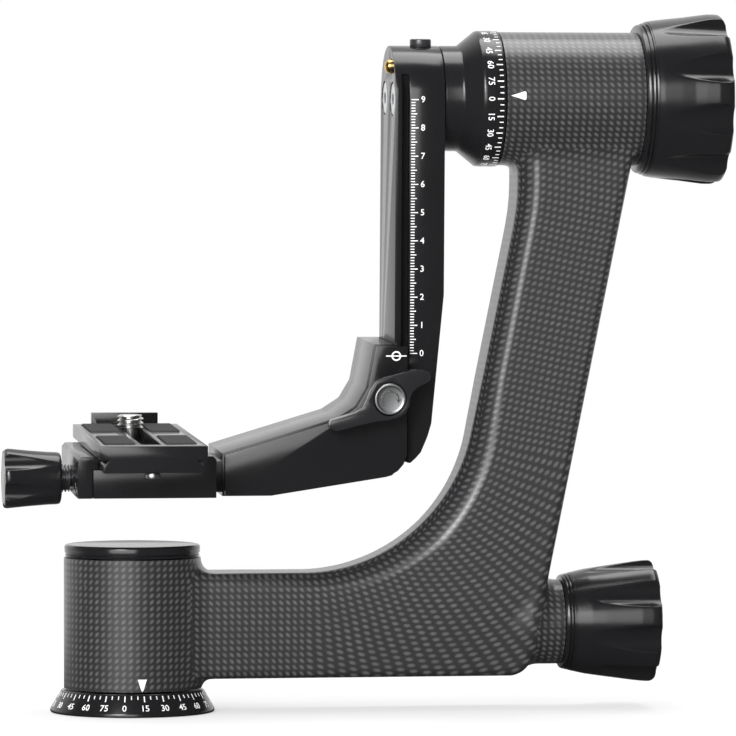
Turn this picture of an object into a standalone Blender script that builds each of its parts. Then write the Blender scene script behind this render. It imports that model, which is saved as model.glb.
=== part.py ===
"""Side-mounted gimbal head for long lenses.

Frame: origin at the centre of the base's underside, where the tripod screw enters. +Z is the pan
axis, +X runs along the tilt axis towards the tilt knob, and -Y is the side with the height scale.
The swing group is modelled upright about the tilt axis, and one empty leans it by SWING_REST_LEAN.
Lengths are in metres.
"""
import math

import bmesh
import bpy
from mathutils import Matrix, Vector

# Clearances and cuts
SEAT_GAP = 0.0003
OVERRUN = 0.0020

# Edges sharper than this stay crisp
SHARP_ANGLE = math.radians(35)

# Facets of round pieces, by how large they are
STEPS_LARGE = 48
STEPS_MEDIUM = 28
STEPS_SMALL = 16
STEPS_TINY = 10

# Overall layout
TILT_AXIS_HEIGHT = 0.2180
PLATFORM_HEIGHT = 0.0777
PLATFORM_DROP = PLATFORM_HEIGHT - TILT_AXIS_HEIGHT
SWING_REST_LEAN = math.radians(2.5)

# Base ring and pan spindle
RING_FOOT_RADIUS = 0.0292
RING_TOP_RADIUS = 0.0255
RING_HEIGHT = 0.0080
RING_FOOT_LIP = 0.0012
RING_EDGE = 0.0005
RING_BORE_RADIUS = 0.0170
FLANGE_RADIUS = 0.0238
FLANGE_THICKNESS = 0.0040
SOCKET_RADIUS = 0.0048
SOCKET_DEPTH = 0.0160
SPINDLE_RADIUS = 0.0120
SPINDLE_SHOULDER = 0.0030
SPINDLE_THREAD_RADIUS = 0.0080
BASE_SCREW_RADIUS = 0.0014
BASE_SCREW_HEAD_RADIUS = 0.0025
BASE_SCREW_HEAD = 0.0018
BASE_SCREW_LENGTH = 0.0066
BASE_SCREW_COUNT = 3

# Column of the carbon body and its cap
COLUMN_RADIUS = 0.0243
COLUMN_BOTTOM = 0.0086
COLUMN_BORE_RADIUS = 0.0203
CAP_RIM_RADIUS = 0.0242
CAP_TOP_RADIUS = 0.0210
CAP_RIM_HEIGHT = 0.0030
CAP_HEIGHT = 0.0053
CAP_SPIGOT_DEPTH = 0.0030

# Pan bearings below and above the pan lock's shoe, the nut over them and the column's top
PAN_LOCK_HEIGHT = 0.0305
SHOE_RADIUS = 0.0055
SHOE_ROOM_BELOW = 0.0040
SHOE_ROOM_ABOVE = 0.0020
PAN_BEARING_HEIGHT = 0.0070
PAN_BEARING_LOW = PAN_LOCK_HEIGHT - SHOE_RADIUS - SHOE_ROOM_BELOW - PAN_BEARING_HEIGHT
PAN_BEARING_HIGH = PAN_LOCK_HEIGHT + SHOE_RADIUS + SHOE_ROOM_ABOVE
PAN_NUT_RADIUS = 0.0145
PAN_NUT_HEIGHT = 0.0045
NUT_ROOM_ABOVE = 0.0021
PAN_NUT_TOP = PAN_BEARING_HIGH + PAN_BEARING_HEIGHT + SEAT_GAP + PAN_NUT_HEIGHT
COLUMN_TOP = PAN_NUT_TOP + NUT_ROOM_ABOVE + CAP_SPIGOT_DEPTH

# Arm of the carbon body, seen from the front
ARM_HALF_DEPTH = 0.0160
ARM_START = 0.0100
ARM_FLOOR = 0.0121
ARM_CEILING = 0.0495
BEND_RADIUS = 0.0610
BEND_CENTRE_X = 0.0608
LEAN_RUN = 0.0443412
LEAN_SLOPE = LEAN_RUN / TILT_AXIS_HEIGHT
OUTER_LINE_X = 0.1381
INNER_LINE_DROP = 0.0480
INNER_LINE_TOP = TILT_AXIS_HEIGHT - INNER_LINE_DROP
THROAT_X = 0.1373
THROAT_DROP = 0.0350
THROAT_HEIGHT = TILT_AXIS_HEIGHT - THROAT_DROP
NECK_X = 0.1364
ARM_TOP_DROP = 0.0140
ARM_TOP = TILT_AXIS_HEIGHT - ARM_TOP_DROP
CORNER_RADIUS = 0.0050
INNER_EDGE_MIN = 0.0042
INNER_EDGE_BEND = 0.0095
INNER_EDGE_TOP = 0.0066
INNER_EDGE_DEPTH_SHARE = 0.62
INNER_EDGE_WIDEST_SHARE = 0.6
OUTER_EDGE = 0.0028
BEND_STATIONS = 9
CORNER_STATIONS = 3
LINE_STATIONS = 4

# Tilt tube of the carbon body
TUBE_RADIUS = 0.0238
TUBE_LEFT = 0.1312
TUBE_RIGHT = 0.1812
TUBE_BORE_RADIUS = 0.0203

# Pan lock: boss, bush, rod, shoe and knob
BOSS_RADIUS = 0.0151
BOSS_START = 0.1250
BOSS_END = 0.1537
BUSH_RADIUS = 0.0115
BUSH_LENGTH = 0.0150
ROD_RADIUS = 0.0032
ROD_CLEARANCE = 0.0005
SHOE_END = 0.0174
PAN_KNOB_LENGTH = 0.0340
PAN_KNOB_NOSE_RADIUS = 0.0169
PAN_KNOB_RADIUS = 0.0218
PAN_KNOB_ROUND = 0.0020
PAN_KNOB_FLUTES = 8
PAN_FLUTE_RADIUS = 0.0050
PAN_FLUTE_DEPTH = 0.0020
PAN_FLUTE_START = 0.0090
PAN_KNOB_SHARES = ((0.07, 0.10), (0.27, 0.39), (0.53, 0.66), (0.78, 0.91))
STEM_RADIUS = 0.0050
STEM_BUSH_GAP = 0.0001
STEM_IN_KNOB = 0.0200

# Tilt lock and tilt bearings
TILT_SHAFT_RADIUS = 0.0100
TILT_SHAFT_END = 0.1630
SHAFT_FLANGE_RADIUS = 0.0150
SHAFT_FLANGE = 0.0030
TILT_BEARING_LEFT = 0.1340
TILT_BEARING_RIGHT = 0.1510
TILT_BEARING_LENGTH = 0.0080
BRAKE_DISC_RADIUS = 0.0160
BRAKE_DISC = 0.0030
COLLAR_LENGTH = 0.0060
TILT_KNOB_LENGTH = 0.0307
TILT_KNOB_NOSE_RADIUS = 0.0266
TILT_KNOB_RADIUS = 0.0307
TILT_KNOB_ROUND = 0.0028
TILT_KNOB_FLUTES = 10
TILT_FLUTE_RADIUS = 0.0062
TILT_FLUTE_DEPTH = 0.0022
TILT_FLUTE_START = 0.0070
TILT_KNOB_SHARES = ((0.17, 0.37), (0.39, 0.56), (0.53, 0.68), (0.67, 0.83))
FLUTE_PHASE = math.radians(15)

# Swing arm and hub: a RISE is counted from the platform's underside, other heights from the tilt axis
SWING_LEFT = 0.0920
SWING_RIGHT = 0.1096
SWING_HALF_WIDTH = 0.0188
SWING_FOOT_RISE = 0.0113
SWING_BOTTOM = PLATFORM_DROP + SWING_FOOT_RISE
TAPER_TOP_RISE = 0.0713
SWING_TAPER_TOP = PLATFORM_DROP + TAPER_TOP_RISE
TAPER_BOTTOM_RISE = 0.0253
SWING_TAPER_BOTTOM = PLATFORM_DROP + TAPER_BOTTOM_RISE
SWING_TAPER = 0.0042
SWING_FOOT_ROUND = 0.0074
RAIL_THICKNESS = 0.0022
RAIL_NECK_HALF_WIDTH = 0.0147
SCALE_FACE_X = 0.0970
GROOVE_TOP = 0.0090
HUB_RADIUS = 0.0188
HUB_FLARE_RADIUS = 0.0242
HUB_FLARE_START = 0.1165
HUB_FLARE_END = 0.1230
HUB_RIGHT = 0.1308
ARM_BOLT_SPACING = 0.0192
ARM_BOLT_RADIUS = 0.0030
ARM_BOLT_HEAD_RADIUS = 0.0058
ARM_BOLT_RIM = 0.0006
ARM_BOLT_REACH = 0.1190
STOP_PIN_RADIUS = 0.0025
STOP_PIN_HEIGHT = 0.0115
STOP_PIN_Y = -0.0072
STOP_PIN_PROUD = 0.0026
STOP_PIN_DEPTH = 0.0050
TOP_SCREW_X = 0.1034
TOP_SCREW_SEAT = 0.0184
TOP_SCREW_HEAD_RADIUS = 0.0038
TOP_SCREW_HEAD = 0.0028
TOP_SCREW_RADIUS = 0.0019
TOP_SCREW_DEPTH = 0.0090

# Round of the swing arm's foot, in shares of SWING_FOOT_ROUND and of its drop
SWING_FOOT_SHARES = ((0.75, 0.88), (0.50, 0.73), (0.18, 0.33), (0.0, 0.0))

# Platform bracket at the scale's zero: a RISE is counted from its underside
BRACKET_TOP_RISE = 0.0536
BRACKET_TOP = PLATFORM_DROP + BRACKET_TOP_RISE
BRACKET_TOP_X = 0.0845
BRACKET_HALF_WIDTH = 0.0230
BRACKET_SIDE_X = 0.0817
BRACKET_SIDE_RISE = 0.0383
BRACKET_SIDE_HEIGHT = PLATFORM_DROP + BRACKET_SIDE_RISE
BRACKET_ELBOW_X = 0.0715
BRACKET_ELBOW_RISE = 0.0276
BRACKET_ELBOW_HEIGHT = PLATFORM_DROP + BRACKET_ELBOW_RISE
BRACKET_TOE_X = 0.0306
BRACKET_TOE_RISE = 0.0152
BRACKET_TOE_TOP = PLATFORM_DROP + BRACKET_TOE_RISE
BRACKET_BOTTOM = PLATFORM_DROP
BRACKET_FLAT_X = 0.0480
BRACKET_HEEL_X = 0.0860
BRACKET_HEEL_RISE = 0.0059
BRACKET_HEEL_HEIGHT = PLATFORM_DROP + BRACKET_HEEL_RISE
BRACKET_HEEL_ROUND = 0.0090
ELBOW_BULGE_SHARE = 0.12
BRACKET_SEAM = -0.0196
BRACKET_FRONT = -0.0232
SIDE_PLATE_INSET = 0.0006
CLAW_GAP = 0.0003
NECK_LENGTH = 0.0032
NECK_HALF_WIDTH = 0.0180
NECK_TOP_RISE = 0.0123
NECK_TOP = PLATFORM_DROP + NECK_TOP_RISE
NECK_BOTTOM_RISE = 0.0013
NECK_BOTTOM = PLATFORM_DROP + NECK_BOTTOM_RISE
DOWEL_RADIUS = 0.0015
DOWEL_LENGTH = 0.0070
DOWEL_COVER = 0.0009

# Lock lever on the bracket
LEVER_X = 0.0888
LEVER_RISE = 0.0349
LEVER_HEIGHT = PLATFORM_DROP + LEVER_RISE
LEVER_REACH = 0.0214
LEVER_THICKNESS = 0.0065
LEVER_STAND_OFF = 0.0008
STUD_RADIUS = 0.0020
STUD_DEPTH = 0.0140
STUD_CLEARANCE = 0.0003
BUTTON_RADIUS = 0.0056
BUTTON_WALL = 0.0007
BUTTON_FACE = 0.0005
BUTTON_PROUD = 0.0010
BUTTON_HEIGHT = 0.0023
POCKET_DEPTH = 0.0036
SPRING_LENGTH = 0.0025
SPRING_BORE_RADIUS = 0.0032

# Quick-release clamp
PLATFORM_X = 0.0030
CLAMP_HALF_LENGTH = 0.0320
CLAMP_LEFT = -0.0163
CLAMP_RIGHT = 0.0271
CLAMP_RISE = 0.0005
CLAMP_BOTTOM = PLATFORM_DROP + CLAMP_RISE
CLAMP_FLOOR_RISE = 0.0105
CLAMP_FLOOR = PLATFORM_DROP + CLAMP_FLOOR_RISE
JAW_LEFT = -0.0217
JAW_TOP_CHAMFER = 0.0012
CLAMP_AXIS_RISE = 0.0050
CLAMP_AXIS_HEIGHT = PLATFORM_DROP + CLAMP_AXIS_RISE
CLAMP_SCREW_RADIUS = 0.0030
CLAMP_SCREW_RIGHT = 0.0120
CLAMP_NECK_RADIUS = 0.0050
CLAMP_KNOB_LEFT = -0.0454
CLAMP_KNOB_RIGHT = -0.0251
CLAMP_KNOB_RADIUS = 0.0111
CLAMP_KNOB_SMALL_RADIUS = 0.0093
CLAMP_KNOB_ROUND = 0.0012
CLAMP_KNOB_FLUTES = 6
CLAMP_FLUTE_RADIUS = 0.0034
CLAMP_FLUTE_DEPTH = 0.0012
CLAMP_FLUTE_START = 0.0050
PIN_SPACING = 0.0440
PIN_RADIUS = 0.0016
PIN_RIGHT = 0.0060
CLAMP_BOLT_SPACING = 0.0230
CLAMP_BOLT_RADIUS = 0.0020
CLAMP_BOLT_HEAD_RADIUS = 0.0035
CLAMP_BOLT_HEAD = 0.0035
CLAMP_BOLT_REACH = 0.0420

# Quick-release plate
PLATE_HALF_WIDTH = 0.0190
PLATE_HALF_LENGTH = 0.0500
PLATE_TOP_RISE = 0.0203
PLATE_TOP = PLATFORM_DROP + PLATE_TOP_RISE
SLAB_THICKNESS = 0.0048
DOVETAIL_NECK_HALF_WIDTH = 0.0154
DOVETAIL_HALF_WIDTH = 0.0174
DOVETAIL_FOOT = 0.0025
SLOT_HALF_WIDTH = 0.0035
SLOT_NEAR_MARGIN = 0.0070
SLOT_NEAR = PLATE_HALF_LENGTH - SLOT_NEAR_MARGIN
SLOT_FAR_MARGIN = 0.0100
SLOT_FAR = PLATE_HALF_LENGTH - SLOT_FAR_MARGIN
KEYHOLE_RADIUS = 0.0052
CHANNEL_HALF_WIDTH = 0.0070
CHANNEL_DEPTH = 0.0036
CHANNEL_MARGIN = 0.0006
PAD_WIDTH = 0.0104
PAD_LENGTH = 0.66 * PLATE_HALF_LENGTH
PAD_THICKNESS = 0.0012
PAD_RECESS = 0.0007
PAD_CENTRE_X = 0.0108
PAD_NEAR_CENTRE = -0.484 * PLATE_HALF_LENGTH
PAD_FAR_CENTRE = 0.596 * PLATE_HALF_LENGTH
LIP_HALF_WIDTH = 0.0121
LIP_THICKNESS = 0.0030
LIP_RISE = 0.0040
LIP_DROP = 0.0060
LIP_SCREW_RADIUS = 0.0010
LIP_SCREW_HEAD_RADIUS = 0.0019
LIP_SCREW_HEAD = 0.0012
LIP_SCREW_DEPTH = 0.0060
LIP_SCREW_SPACING = 0.0150
LIP_SCREW_DROP = 0.0029
STOP_SCREW_RADIUS = 0.0013
STOP_SCREW_HEAD_RADIUS = 0.0026
STOP_SCREW_HEAD = 0.0020
STOP_SCREW_DEPTH = 0.0040
STOP_SCREW_MARGIN = 0.0040
CAMERA_SCREW_RADIUS = 0.0048
CAMERA_SCREW_RISE = 0.0048
CAMERA_SCREW_MARGIN = 0.0190
CAMERA_SCREW_Y = PLATE_HALF_LENGTH - CAMERA_SCREW_MARGIN
CAMERA_SCREW_NECK_RADIUS = 0.0031
CAMERA_SCREW_HEAD_RADIUS = 0.0063
CAMERA_SCREW_HEAD = 0.0015
WASHER_THICKNESS = 0.0006

# Outline of the lock lever about its pivot, clockwise, in shares of LEVER_REACH
LEVER_OUTLINE_SHARES = (
    (-1.00, -0.43), (-0.96, -0.35), (-0.76, -0.29), (-0.56, -0.22), (-0.44, -0.15),
    (-0.38, -0.03), (-0.31, 0.14), (-0.23, 0.27), (-0.10, 0.36), (0.11, 0.41),
    (0.38, 0.48), (0.57, 0.48), (0.66, 0.43), (0.67, 0.33), (0.62, 0.27),
    (0.49, 0.21), (0.38, 0.12), (0.34, 0.02), (0.33, -0.11), (0.26, -0.24),
    (0.14, -0.31), (-0.02, -0.35), (-0.23, -0.37), (-0.50, -0.43), (-0.76, -0.50),
    (-0.89, -0.53), (-0.97, -0.49),
)

MATERIALS = {
    "carbon": ((0.045, 0.045, 0.048), 0.32, 0.0),
    "black_anodised": ((0.020, 0.020, 0.022), 0.42, 0.6),
    "black_knob": ((0.012, 0.012, 0.013), 0.22, 0.0),
    "steel": ((0.62, 0.62, 0.61), 0.25, 1.0),
    "dark_steel": ((0.12, 0.12, 0.13), 0.35, 1.0),
    "bronze": ((0.55, 0.42, 0.24), 0.40, 1.0),
    "friction_plastic": ((0.75, 0.74, 0.70), 0.55, 0.0),
    "rubber": ((0.030, 0.030, 0.031), 0.80, 0.0),
    "brass": ((0.72, 0.48, 0.16), 0.25, 1.0),
    "silver": ((0.72, 0.73, 0.74), 0.30, 1.0),
}


def clear_scene():
    for old in list(bpy.data.objects):
        bpy.data.objects.remove(old, do_unlink=True)


def material(name):
    """The named finish, made once."""
    found = bpy.data.materials.get(name)
    if found:
        return found
    colour, roughness, metallic = MATERIALS[name]
    made = bpy.data.materials.new(name)
    made.use_nodes = True
    shader = made.node_tree.nodes["Principled BSDF"]
    shader.inputs["Base Color"].default_value = (*colour, 1.0)
    shader.inputs["Roughness"].default_value = roughness
    shader.inputs["Metallic"].default_value = metallic
    made.diffuse_color = (*colour, 1.0)
    return made


def empty(name, at, parent=None):
    made = bpy.data.objects.new(name, None)
    made.location = at
    made.parent = parent
    bpy.context.collection.objects.link(made)
    return made


def place(name, shape, parent, at):
    """A mesh object from a shape given in its parent's frame, with its origin moved to at."""
    bmesh.ops.translate(shape, vec=-Vector(at), verts=shape.verts)
    bmesh.ops.recalc_face_normals(shape, faces=shape.faces)
    mesh = bpy.data.meshes.new(name)
    shape.to_mesh(mesh)
    shape.free()
    made = bpy.data.objects.new(name, mesh)
    made.location = at
    made.parent = parent
    bpy.context.collection.objects.link(made)
    return made


def piece(name, shape, finish, parent, at=(0, 0, 0)):
    made = place(name, shape, parent, at)
    made.data.materials.append(material(finish))
    made.data.shade_smooth()
    made.data.set_sharp_from_angle(angle=SHARP_ANGLE)
    return made


def combine(target, name, shape, operation, solver="EXACT"):
    """Cut a shape from a piece, or join it to it, with a live Boolean."""
    tool = place(f"{target.name}_{name}", shape, target.parent, target.location)
    tool.hide_render = True
    tool.display_type = "WIRE"
    step = target.modifiers.new(name, "BOOLEAN")
    step.operation = operation
    step.solver = solver
    step.object = tool
    return tool


def cut(target, name, shape, solver="EXACT"):
    return combine(target, name, shape, "DIFFERENCE", solver)


def join(target, name, shape):
    return combine(target, name, shape, "UNION")


def axis_point(axis, along, first, second):
    """A point on or off an axis: first and second are the two other coordinates in X, Y, Z order."""
    others = {"X": (along, first, second), "Y": (first, along, second), "Z": (first, second, along)}
    return Vector(others[axis])


def turned(profile, axis, centre, steps, turn=0.0):
    """A closed solid turned from (along, radius) points; a zero radius at both ends closes it."""
    shape = bmesh.new()
    rings = []
    for along, radius in profile:
        if radius == 0:
            rings.append([shape.verts.new(axis_point(axis, along, *centre))])
            continue
        ring = []
        for step in range(steps):
            angle = turn + math.tau * step / steps
            first = centre[0] + radius * math.cos(angle)
            second = centre[1] + radius * math.sin(angle)
            ring.append(shape.verts.new(axis_point(axis, along, first, second)))
        rings.append(ring)
    pairs = list(zip(rings, rings[1:]))
    if len(rings[0]) > 1:
        pairs.append((rings[-1], rings[0]))
    for low, high in pairs:
        for step in range(steps):
            after = (step + 1) % steps
            corners = [low[step % len(low)], low[after % len(low)],
                       high[after % len(high)], high[step % len(high)]]
            corners = list(dict.fromkeys(corners))
            if len(corners) > 2:
                shape.faces.new(corners)
    return shape


def rod(axis, centre, radius, low, high, steps, turn=0.0):
    return turned([(low, 0), (low, radius), (high, radius), (high, 0)], axis, centre, steps, turn)


def ring(axis, centre, inner, outer, low, high, steps):
    return turned([(low, inner), (low, outer), (high, outer), (high, inner)], axis, centre, steps)


def prism(outline, axis, low, high):
    """An outline given by the two other coordinates, extruded along an axis."""
    shape = bmesh.new()
    bottom = [shape.verts.new(axis_point(axis, low, a, b)) for a, b in outline]
    face = shape.faces.new(bottom)
    lifted = bmesh.ops.extrude_face_region(shape, geom=[face])
    moved = [item for item in lifted["geom"] if isinstance(item, bmesh.types.BMVert)]
    bmesh.ops.translate(shape, vec=axis_point(axis, high - low, 0, 0), verts=moved)
    bmesh.ops.triangulate(shape, faces=[f for f in shape.faces if len(f.verts) > 4])
    return shape


def block(x_range, y_range, z_range):
    (x0, x1), (y0, y1), (z0, z1) = x_range, y_range, z_range
    return prism([(x0, y0), (x1, y0), (x1, y1), (x0, y1)], "Z", z0, z1)


def arc(centre, radius, start, end, count):
    """Points on a circle from one angle to another, in degrees."""
    points = []
    for index in range(count + 1):
        angle = math.radians(start + (end - start) * index / count)
        points.append((centre[0] + radius * math.cos(angle), centre[1] + radius * math.sin(angle)))
    return points


def rounded_corner(before, corner, after, radius, count):
    """Points of a round between two straight edges that meet at a corner."""
    corner = Vector(corner)
    first = (Vector(before) - corner).normalized()
    second = (Vector(after) - corner).normalized()
    half = first.angle(second) / 2
    centre = corner + (first + second).normalized() * (radius / math.sin(half))
    start = corner + first * (radius / math.tan(half))
    end = corner + second * (radius / math.tan(half))
    a, b = start - centre, end - centre
    points = []
    for index in range(count + 1):
        direction = a.lerp(b, index / count).normalized()
        points.append(tuple(centre + direction * radius))
    return points


def arm_stations():
    """Inner and outer points of the arm, from the column round the bend to the tilt tube."""
    inner_angle = math.degrees(math.atan(LEAN_SLOPE))
    centre = (BEND_CENTRE_X, ARM_CEILING + BEND_RADIUS)
    inner = [(ARM_START, ARM_CEILING), (BEND_CENTRE_X / 2, ARM_CEILING)]
    inner += arc(centre, BEND_RADIUS, -90, -inner_angle, BEND_STATIONS)
    last_x, last_z = inner[-1]
    run = INNER_LINE_TOP - last_z
    for index in range(1, LINE_STATIONS):
        share = index / (LINE_STATIONS - 1)
        inner.append((last_x + LEAN_SLOPE * run * share, last_z + run * share))
    inner += [(THROAT_X, THROAT_HEIGHT), (NECK_X, ARM_TOP)]

    def outer_line(z):
        return (OUTER_LINE_X + LEAN_SLOPE * z, z)

    corner = outer_line(ARM_FLOOR)
    before = ((BEND_CENTRE_X + corner[0]) / 2, ARM_FLOOR)
    outer = [(ARM_START, ARM_FLOOR), (BEND_CENTRE_X / 2, ARM_FLOOR), (BEND_CENTRE_X, ARM_FLOOR),
             before]
    outer += rounded_corner(before, corner, outer_line(ARM_CEILING), CORNER_RADIUS, CORNER_STATIONS)
    left = len(inner) - len(outer)
    last_z = outer[-1][1]
    for index in range(1, left + 1):
        outer.append(outer_line(last_z + (ARM_TOP - last_z) * index / left))
    return inner, outer


def edge_width(index):
    """Width of the arm's soft inner edge: narrow at the column, widest in the bend."""
    spread = BEND_STATIONS * INNER_EDGE_WIDEST_SHARE
    if index <= 1:
        return INNER_EDGE_MIN
    if index <= 1 + spread:
        share = (index - 1) / spread
        return INNER_EDGE_MIN + (INNER_EDGE_BEND - INNER_EDGE_MIN) * share
    share = min(1.0, (index - 1 - spread) / spread)
    return INNER_EDGE_BEND + (INNER_EDGE_TOP - INNER_EDGE_BEND) * share


def arm_section(inner, outer, width):
    """One closed ring of points across the arm, symmetric about the plane Y = 0."""
    inner, outer = Vector(inner), Vector(outer)
    reach = (outer - inner).length
    direction = (outer - inner) / reach
    depth = width * INNER_EDGE_DEPTH_SHARE
    half = []
    for angle in (0, 30, 60, 90):
        turn = math.radians(angle)
        half.append((width * (1 - math.sin(turn)),
                     ARM_HALF_DEPTH - depth * (1 - math.cos(turn))))
    half.reverse()
    for angle in (90, 45, 0):
        turn = math.radians(angle)
        half.append((reach - OUTER_EDGE * (1 - math.cos(turn)),
                     ARM_HALF_DEPTH - OUTER_EDGE * (1 - math.sin(turn))))
    points = []
    for along, y in half:
        spot = inner + direction * along
        points.append((spot.x, -y, spot.y))
    for along, y in reversed(half):
        spot = inner + direction * along
        points.append((spot.x, y, spot.y))
    return points


def arm_shape():
    inner, outer = arm_stations()
    shape = bmesh.new()
    rings = []
    for index, (start, end) in enumerate(zip(inner, outer)):
        section = arm_section(start, end, edge_width(index))
        rings.append([shape.verts.new(point) for point in section])
    size = len(rings[0])
    for low, high in zip(rings, rings[1:]):
        for step in range(size):
            after = (step + 1) % size
            shape.faces.new([low[step], low[after], high[after], high[step]])
    shape.faces.new(rings[0])
    shape.faces.new(rings[-1])
    bmesh.ops.triangulate(shape, faces=shape.faces)
    return shape


def build_base(pan_axis):
    outline = [
        (0, FLANGE_RADIUS), (0, RING_FOOT_RADIUS - RING_EDGE), (RING_EDGE, RING_FOOT_RADIUS),
        (RING_FOOT_LIP, RING_FOOT_RADIUS), (RING_HEIGHT - RING_EDGE, RING_TOP_RADIUS),
        (RING_HEIGHT, RING_TOP_RADIUS - RING_EDGE), (RING_HEIGHT, RING_BORE_RADIUS),
        (FLANGE_THICKNESS, RING_BORE_RADIUS), (FLANGE_THICKNESS, FLANGE_RADIUS),
    ]
    base_ring = piece("base_ring", turned(outline, "Z", (0, 0), STEPS_LARGE),
                      "black_anodised", pan_axis)
    bearing_seat = PAN_BEARING_LOW - SEAT_GAP
    thread_top = COLUMN_TOP - CAP_SPIGOT_DEPTH - OVERRUN / 2
    bearing_top = PAN_BEARING_HIGH + PAN_BEARING_HEIGHT
    flange_top = FLANGE_THICKNESS - SEAT_GAP
    outline = [
        (SOCKET_DEPTH, 0), (SOCKET_DEPTH, SOCKET_RADIUS), (0, SOCKET_RADIUS),
        (0, FLANGE_RADIUS - SEAT_GAP), (flange_top, FLANGE_RADIUS - SEAT_GAP),
        (flange_top, RING_BORE_RADIUS - SEAT_GAP), (RING_HEIGHT, RING_BORE_RADIUS - SEAT_GAP),
        (RING_HEIGHT, SPINDLE_RADIUS + SPINDLE_SHOULDER),
        (bearing_seat, SPINDLE_RADIUS + SPINDLE_SHOULDER), (bearing_seat, SPINDLE_RADIUS),
        (bearing_top, SPINDLE_RADIUS), (bearing_top, SPINDLE_THREAD_RADIUS),
        (thread_top, SPINDLE_THREAD_RADIUS), (thread_top, 0),
    ]
    spindle = piece("base_spindle", turned(outline, "Z", (0, 0), STEPS_MEDIUM), "dark_steel",
                    pan_axis)
    screw_circle = (RING_BORE_RADIUS + FLANGE_RADIUS) / 2
    shank_top = BASE_SCREW_LENGTH
    for index in range(BASE_SCREW_COUNT):
        angle = math.tau * (index + 0.5) / BASE_SCREW_COUNT
        centre = (screw_circle * math.cos(angle), screw_circle * math.sin(angle))
        outline = [(SEAT_GAP, 0), (SEAT_GAP, BASE_SCREW_HEAD_RADIUS),
                   (BASE_SCREW_HEAD, BASE_SCREW_RADIUS), (shank_top, BASE_SCREW_RADIUS),
                   (shank_top, 0)]
        piece(f"base_screw_{index + 1}", turned(outline, "Z", centre, STEPS_TINY), "steel",
              pan_axis, (*centre, 0))
        hole = [(-OVERRUN, 0), (-OVERRUN, BASE_SCREW_HEAD_RADIUS + SEAT_GAP),
                (SEAT_GAP, BASE_SCREW_HEAD_RADIUS + SEAT_GAP),
                (BASE_SCREW_HEAD + SEAT_GAP, BASE_SCREW_RADIUS + SEAT_GAP),
                (shank_top + SEAT_GAP, BASE_SCREW_RADIUS + SEAT_GAP), (shank_top + SEAT_GAP, 0)]
        for target in (base_ring, spindle):
            cut(target, f"screw_hole_{index + 1}", turned(hole, "Z", centre, STEPS_TINY))


def build_carbon_body(pan_axis):
    body = piece("carbon_body", arm_shape(), "carbon", pan_axis)
    tilt_centre = (0, TILT_AXIS_HEIGHT)
    lock_centre = (0, PAN_LOCK_HEIGHT)
    join(body, "column", rod("Z", (0, 0), COLUMN_RADIUS, COLUMN_BOTTOM, COLUMN_TOP, STEPS_LARGE))
    join(body, "tube", rod("X", tilt_centre, TUBE_RADIUS, TUBE_LEFT, TUBE_RIGHT, STEPS_LARGE))
    join(body, "boss", rod("X", lock_centre, BOSS_RADIUS, BOSS_START, BOSS_END, STEPS_MEDIUM))
    cut(body, "column_bore", rod("Z", (0, 0), COLUMN_BORE_RADIUS, COLUMN_BOTTOM - OVERRUN,
                                 COLUMN_TOP + OVERRUN, STEPS_MEDIUM))
    cut(body, "tube_bore", rod("X", tilt_centre, TUBE_BORE_RADIUS, TUBE_LEFT - OVERRUN,
                               TUBE_RIGHT + OVERRUN, STEPS_MEDIUM))
    cut(body, "bush_bore", rod("X", lock_centre, BUSH_RADIUS + SEAT_GAP,
                               BOSS_END - BUSH_LENGTH - SEAT_GAP, BOSS_END + OVERRUN, STEPS_SMALL))
    cut(body, "rod_bore", rod("X", lock_centre, ROD_RADIUS + ROD_CLEARANCE,
                              SPINDLE_RADIUS, BOSS_END, STEPS_TINY))


def build_pan_bearing(pan_axis):
    for name, low in (("lower", PAN_BEARING_LOW), ("upper", PAN_BEARING_HIGH)):
        piece(f"pan_bearing_{name}",
              ring("Z", (0, 0), SPINDLE_RADIUS + SEAT_GAP, COLUMN_BORE_RADIUS - SEAT_GAP,
                   low, low + PAN_BEARING_HEIGHT, STEPS_MEDIUM), "steel", pan_axis)
    nut_low = PAN_BEARING_HIGH + PAN_BEARING_HEIGHT + SEAT_GAP
    piece("pan_nut", ring("Z", (0, 0), SPINDLE_THREAD_RADIUS + SEAT_GAP, PAN_NUT_RADIUS,
                          nut_low, nut_low + PAN_NUT_HEIGHT, STEPS_SMALL), "dark_steel", pan_axis)
    seat = COLUMN_TOP + SEAT_GAP
    spigot = COLUMN_BORE_RADIUS - SEAT_GAP
    outline = [(COLUMN_TOP - CAP_SPIGOT_DEPTH, 0), (COLUMN_TOP - CAP_SPIGOT_DEPTH, spigot),
               (seat, spigot), (seat, CAP_RIM_RADIUS - RING_EDGE), (seat + RING_EDGE, CAP_RIM_RADIUS),
               (seat + CAP_RIM_HEIGHT, CAP_RIM_RADIUS), (seat + CAP_HEIGHT, CAP_TOP_RADIUS),
               (seat + CAP_HEIGHT, 0)]
    piece("base_cap", turned(outline, "Z", (0, 0), STEPS_LARGE), "black_anodised", pan_axis)


def knob_shape(start, length, nose, radius, edge, shares, centre, steps):
    """A flared knob that grows from its nose to its full radius and ends in a soft edge."""
    end = start + length
    outline = [(start, 0), (start, nose)]
    outline += [(start + length * along, nose + (radius - nose) * rise) for along, rise in shares]
    outline += arc((end - edge, radius - edge), edge, 90, 0, 3)
    outline.append((end, 0))
    return turned(outline, "X", centre, steps)


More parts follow.
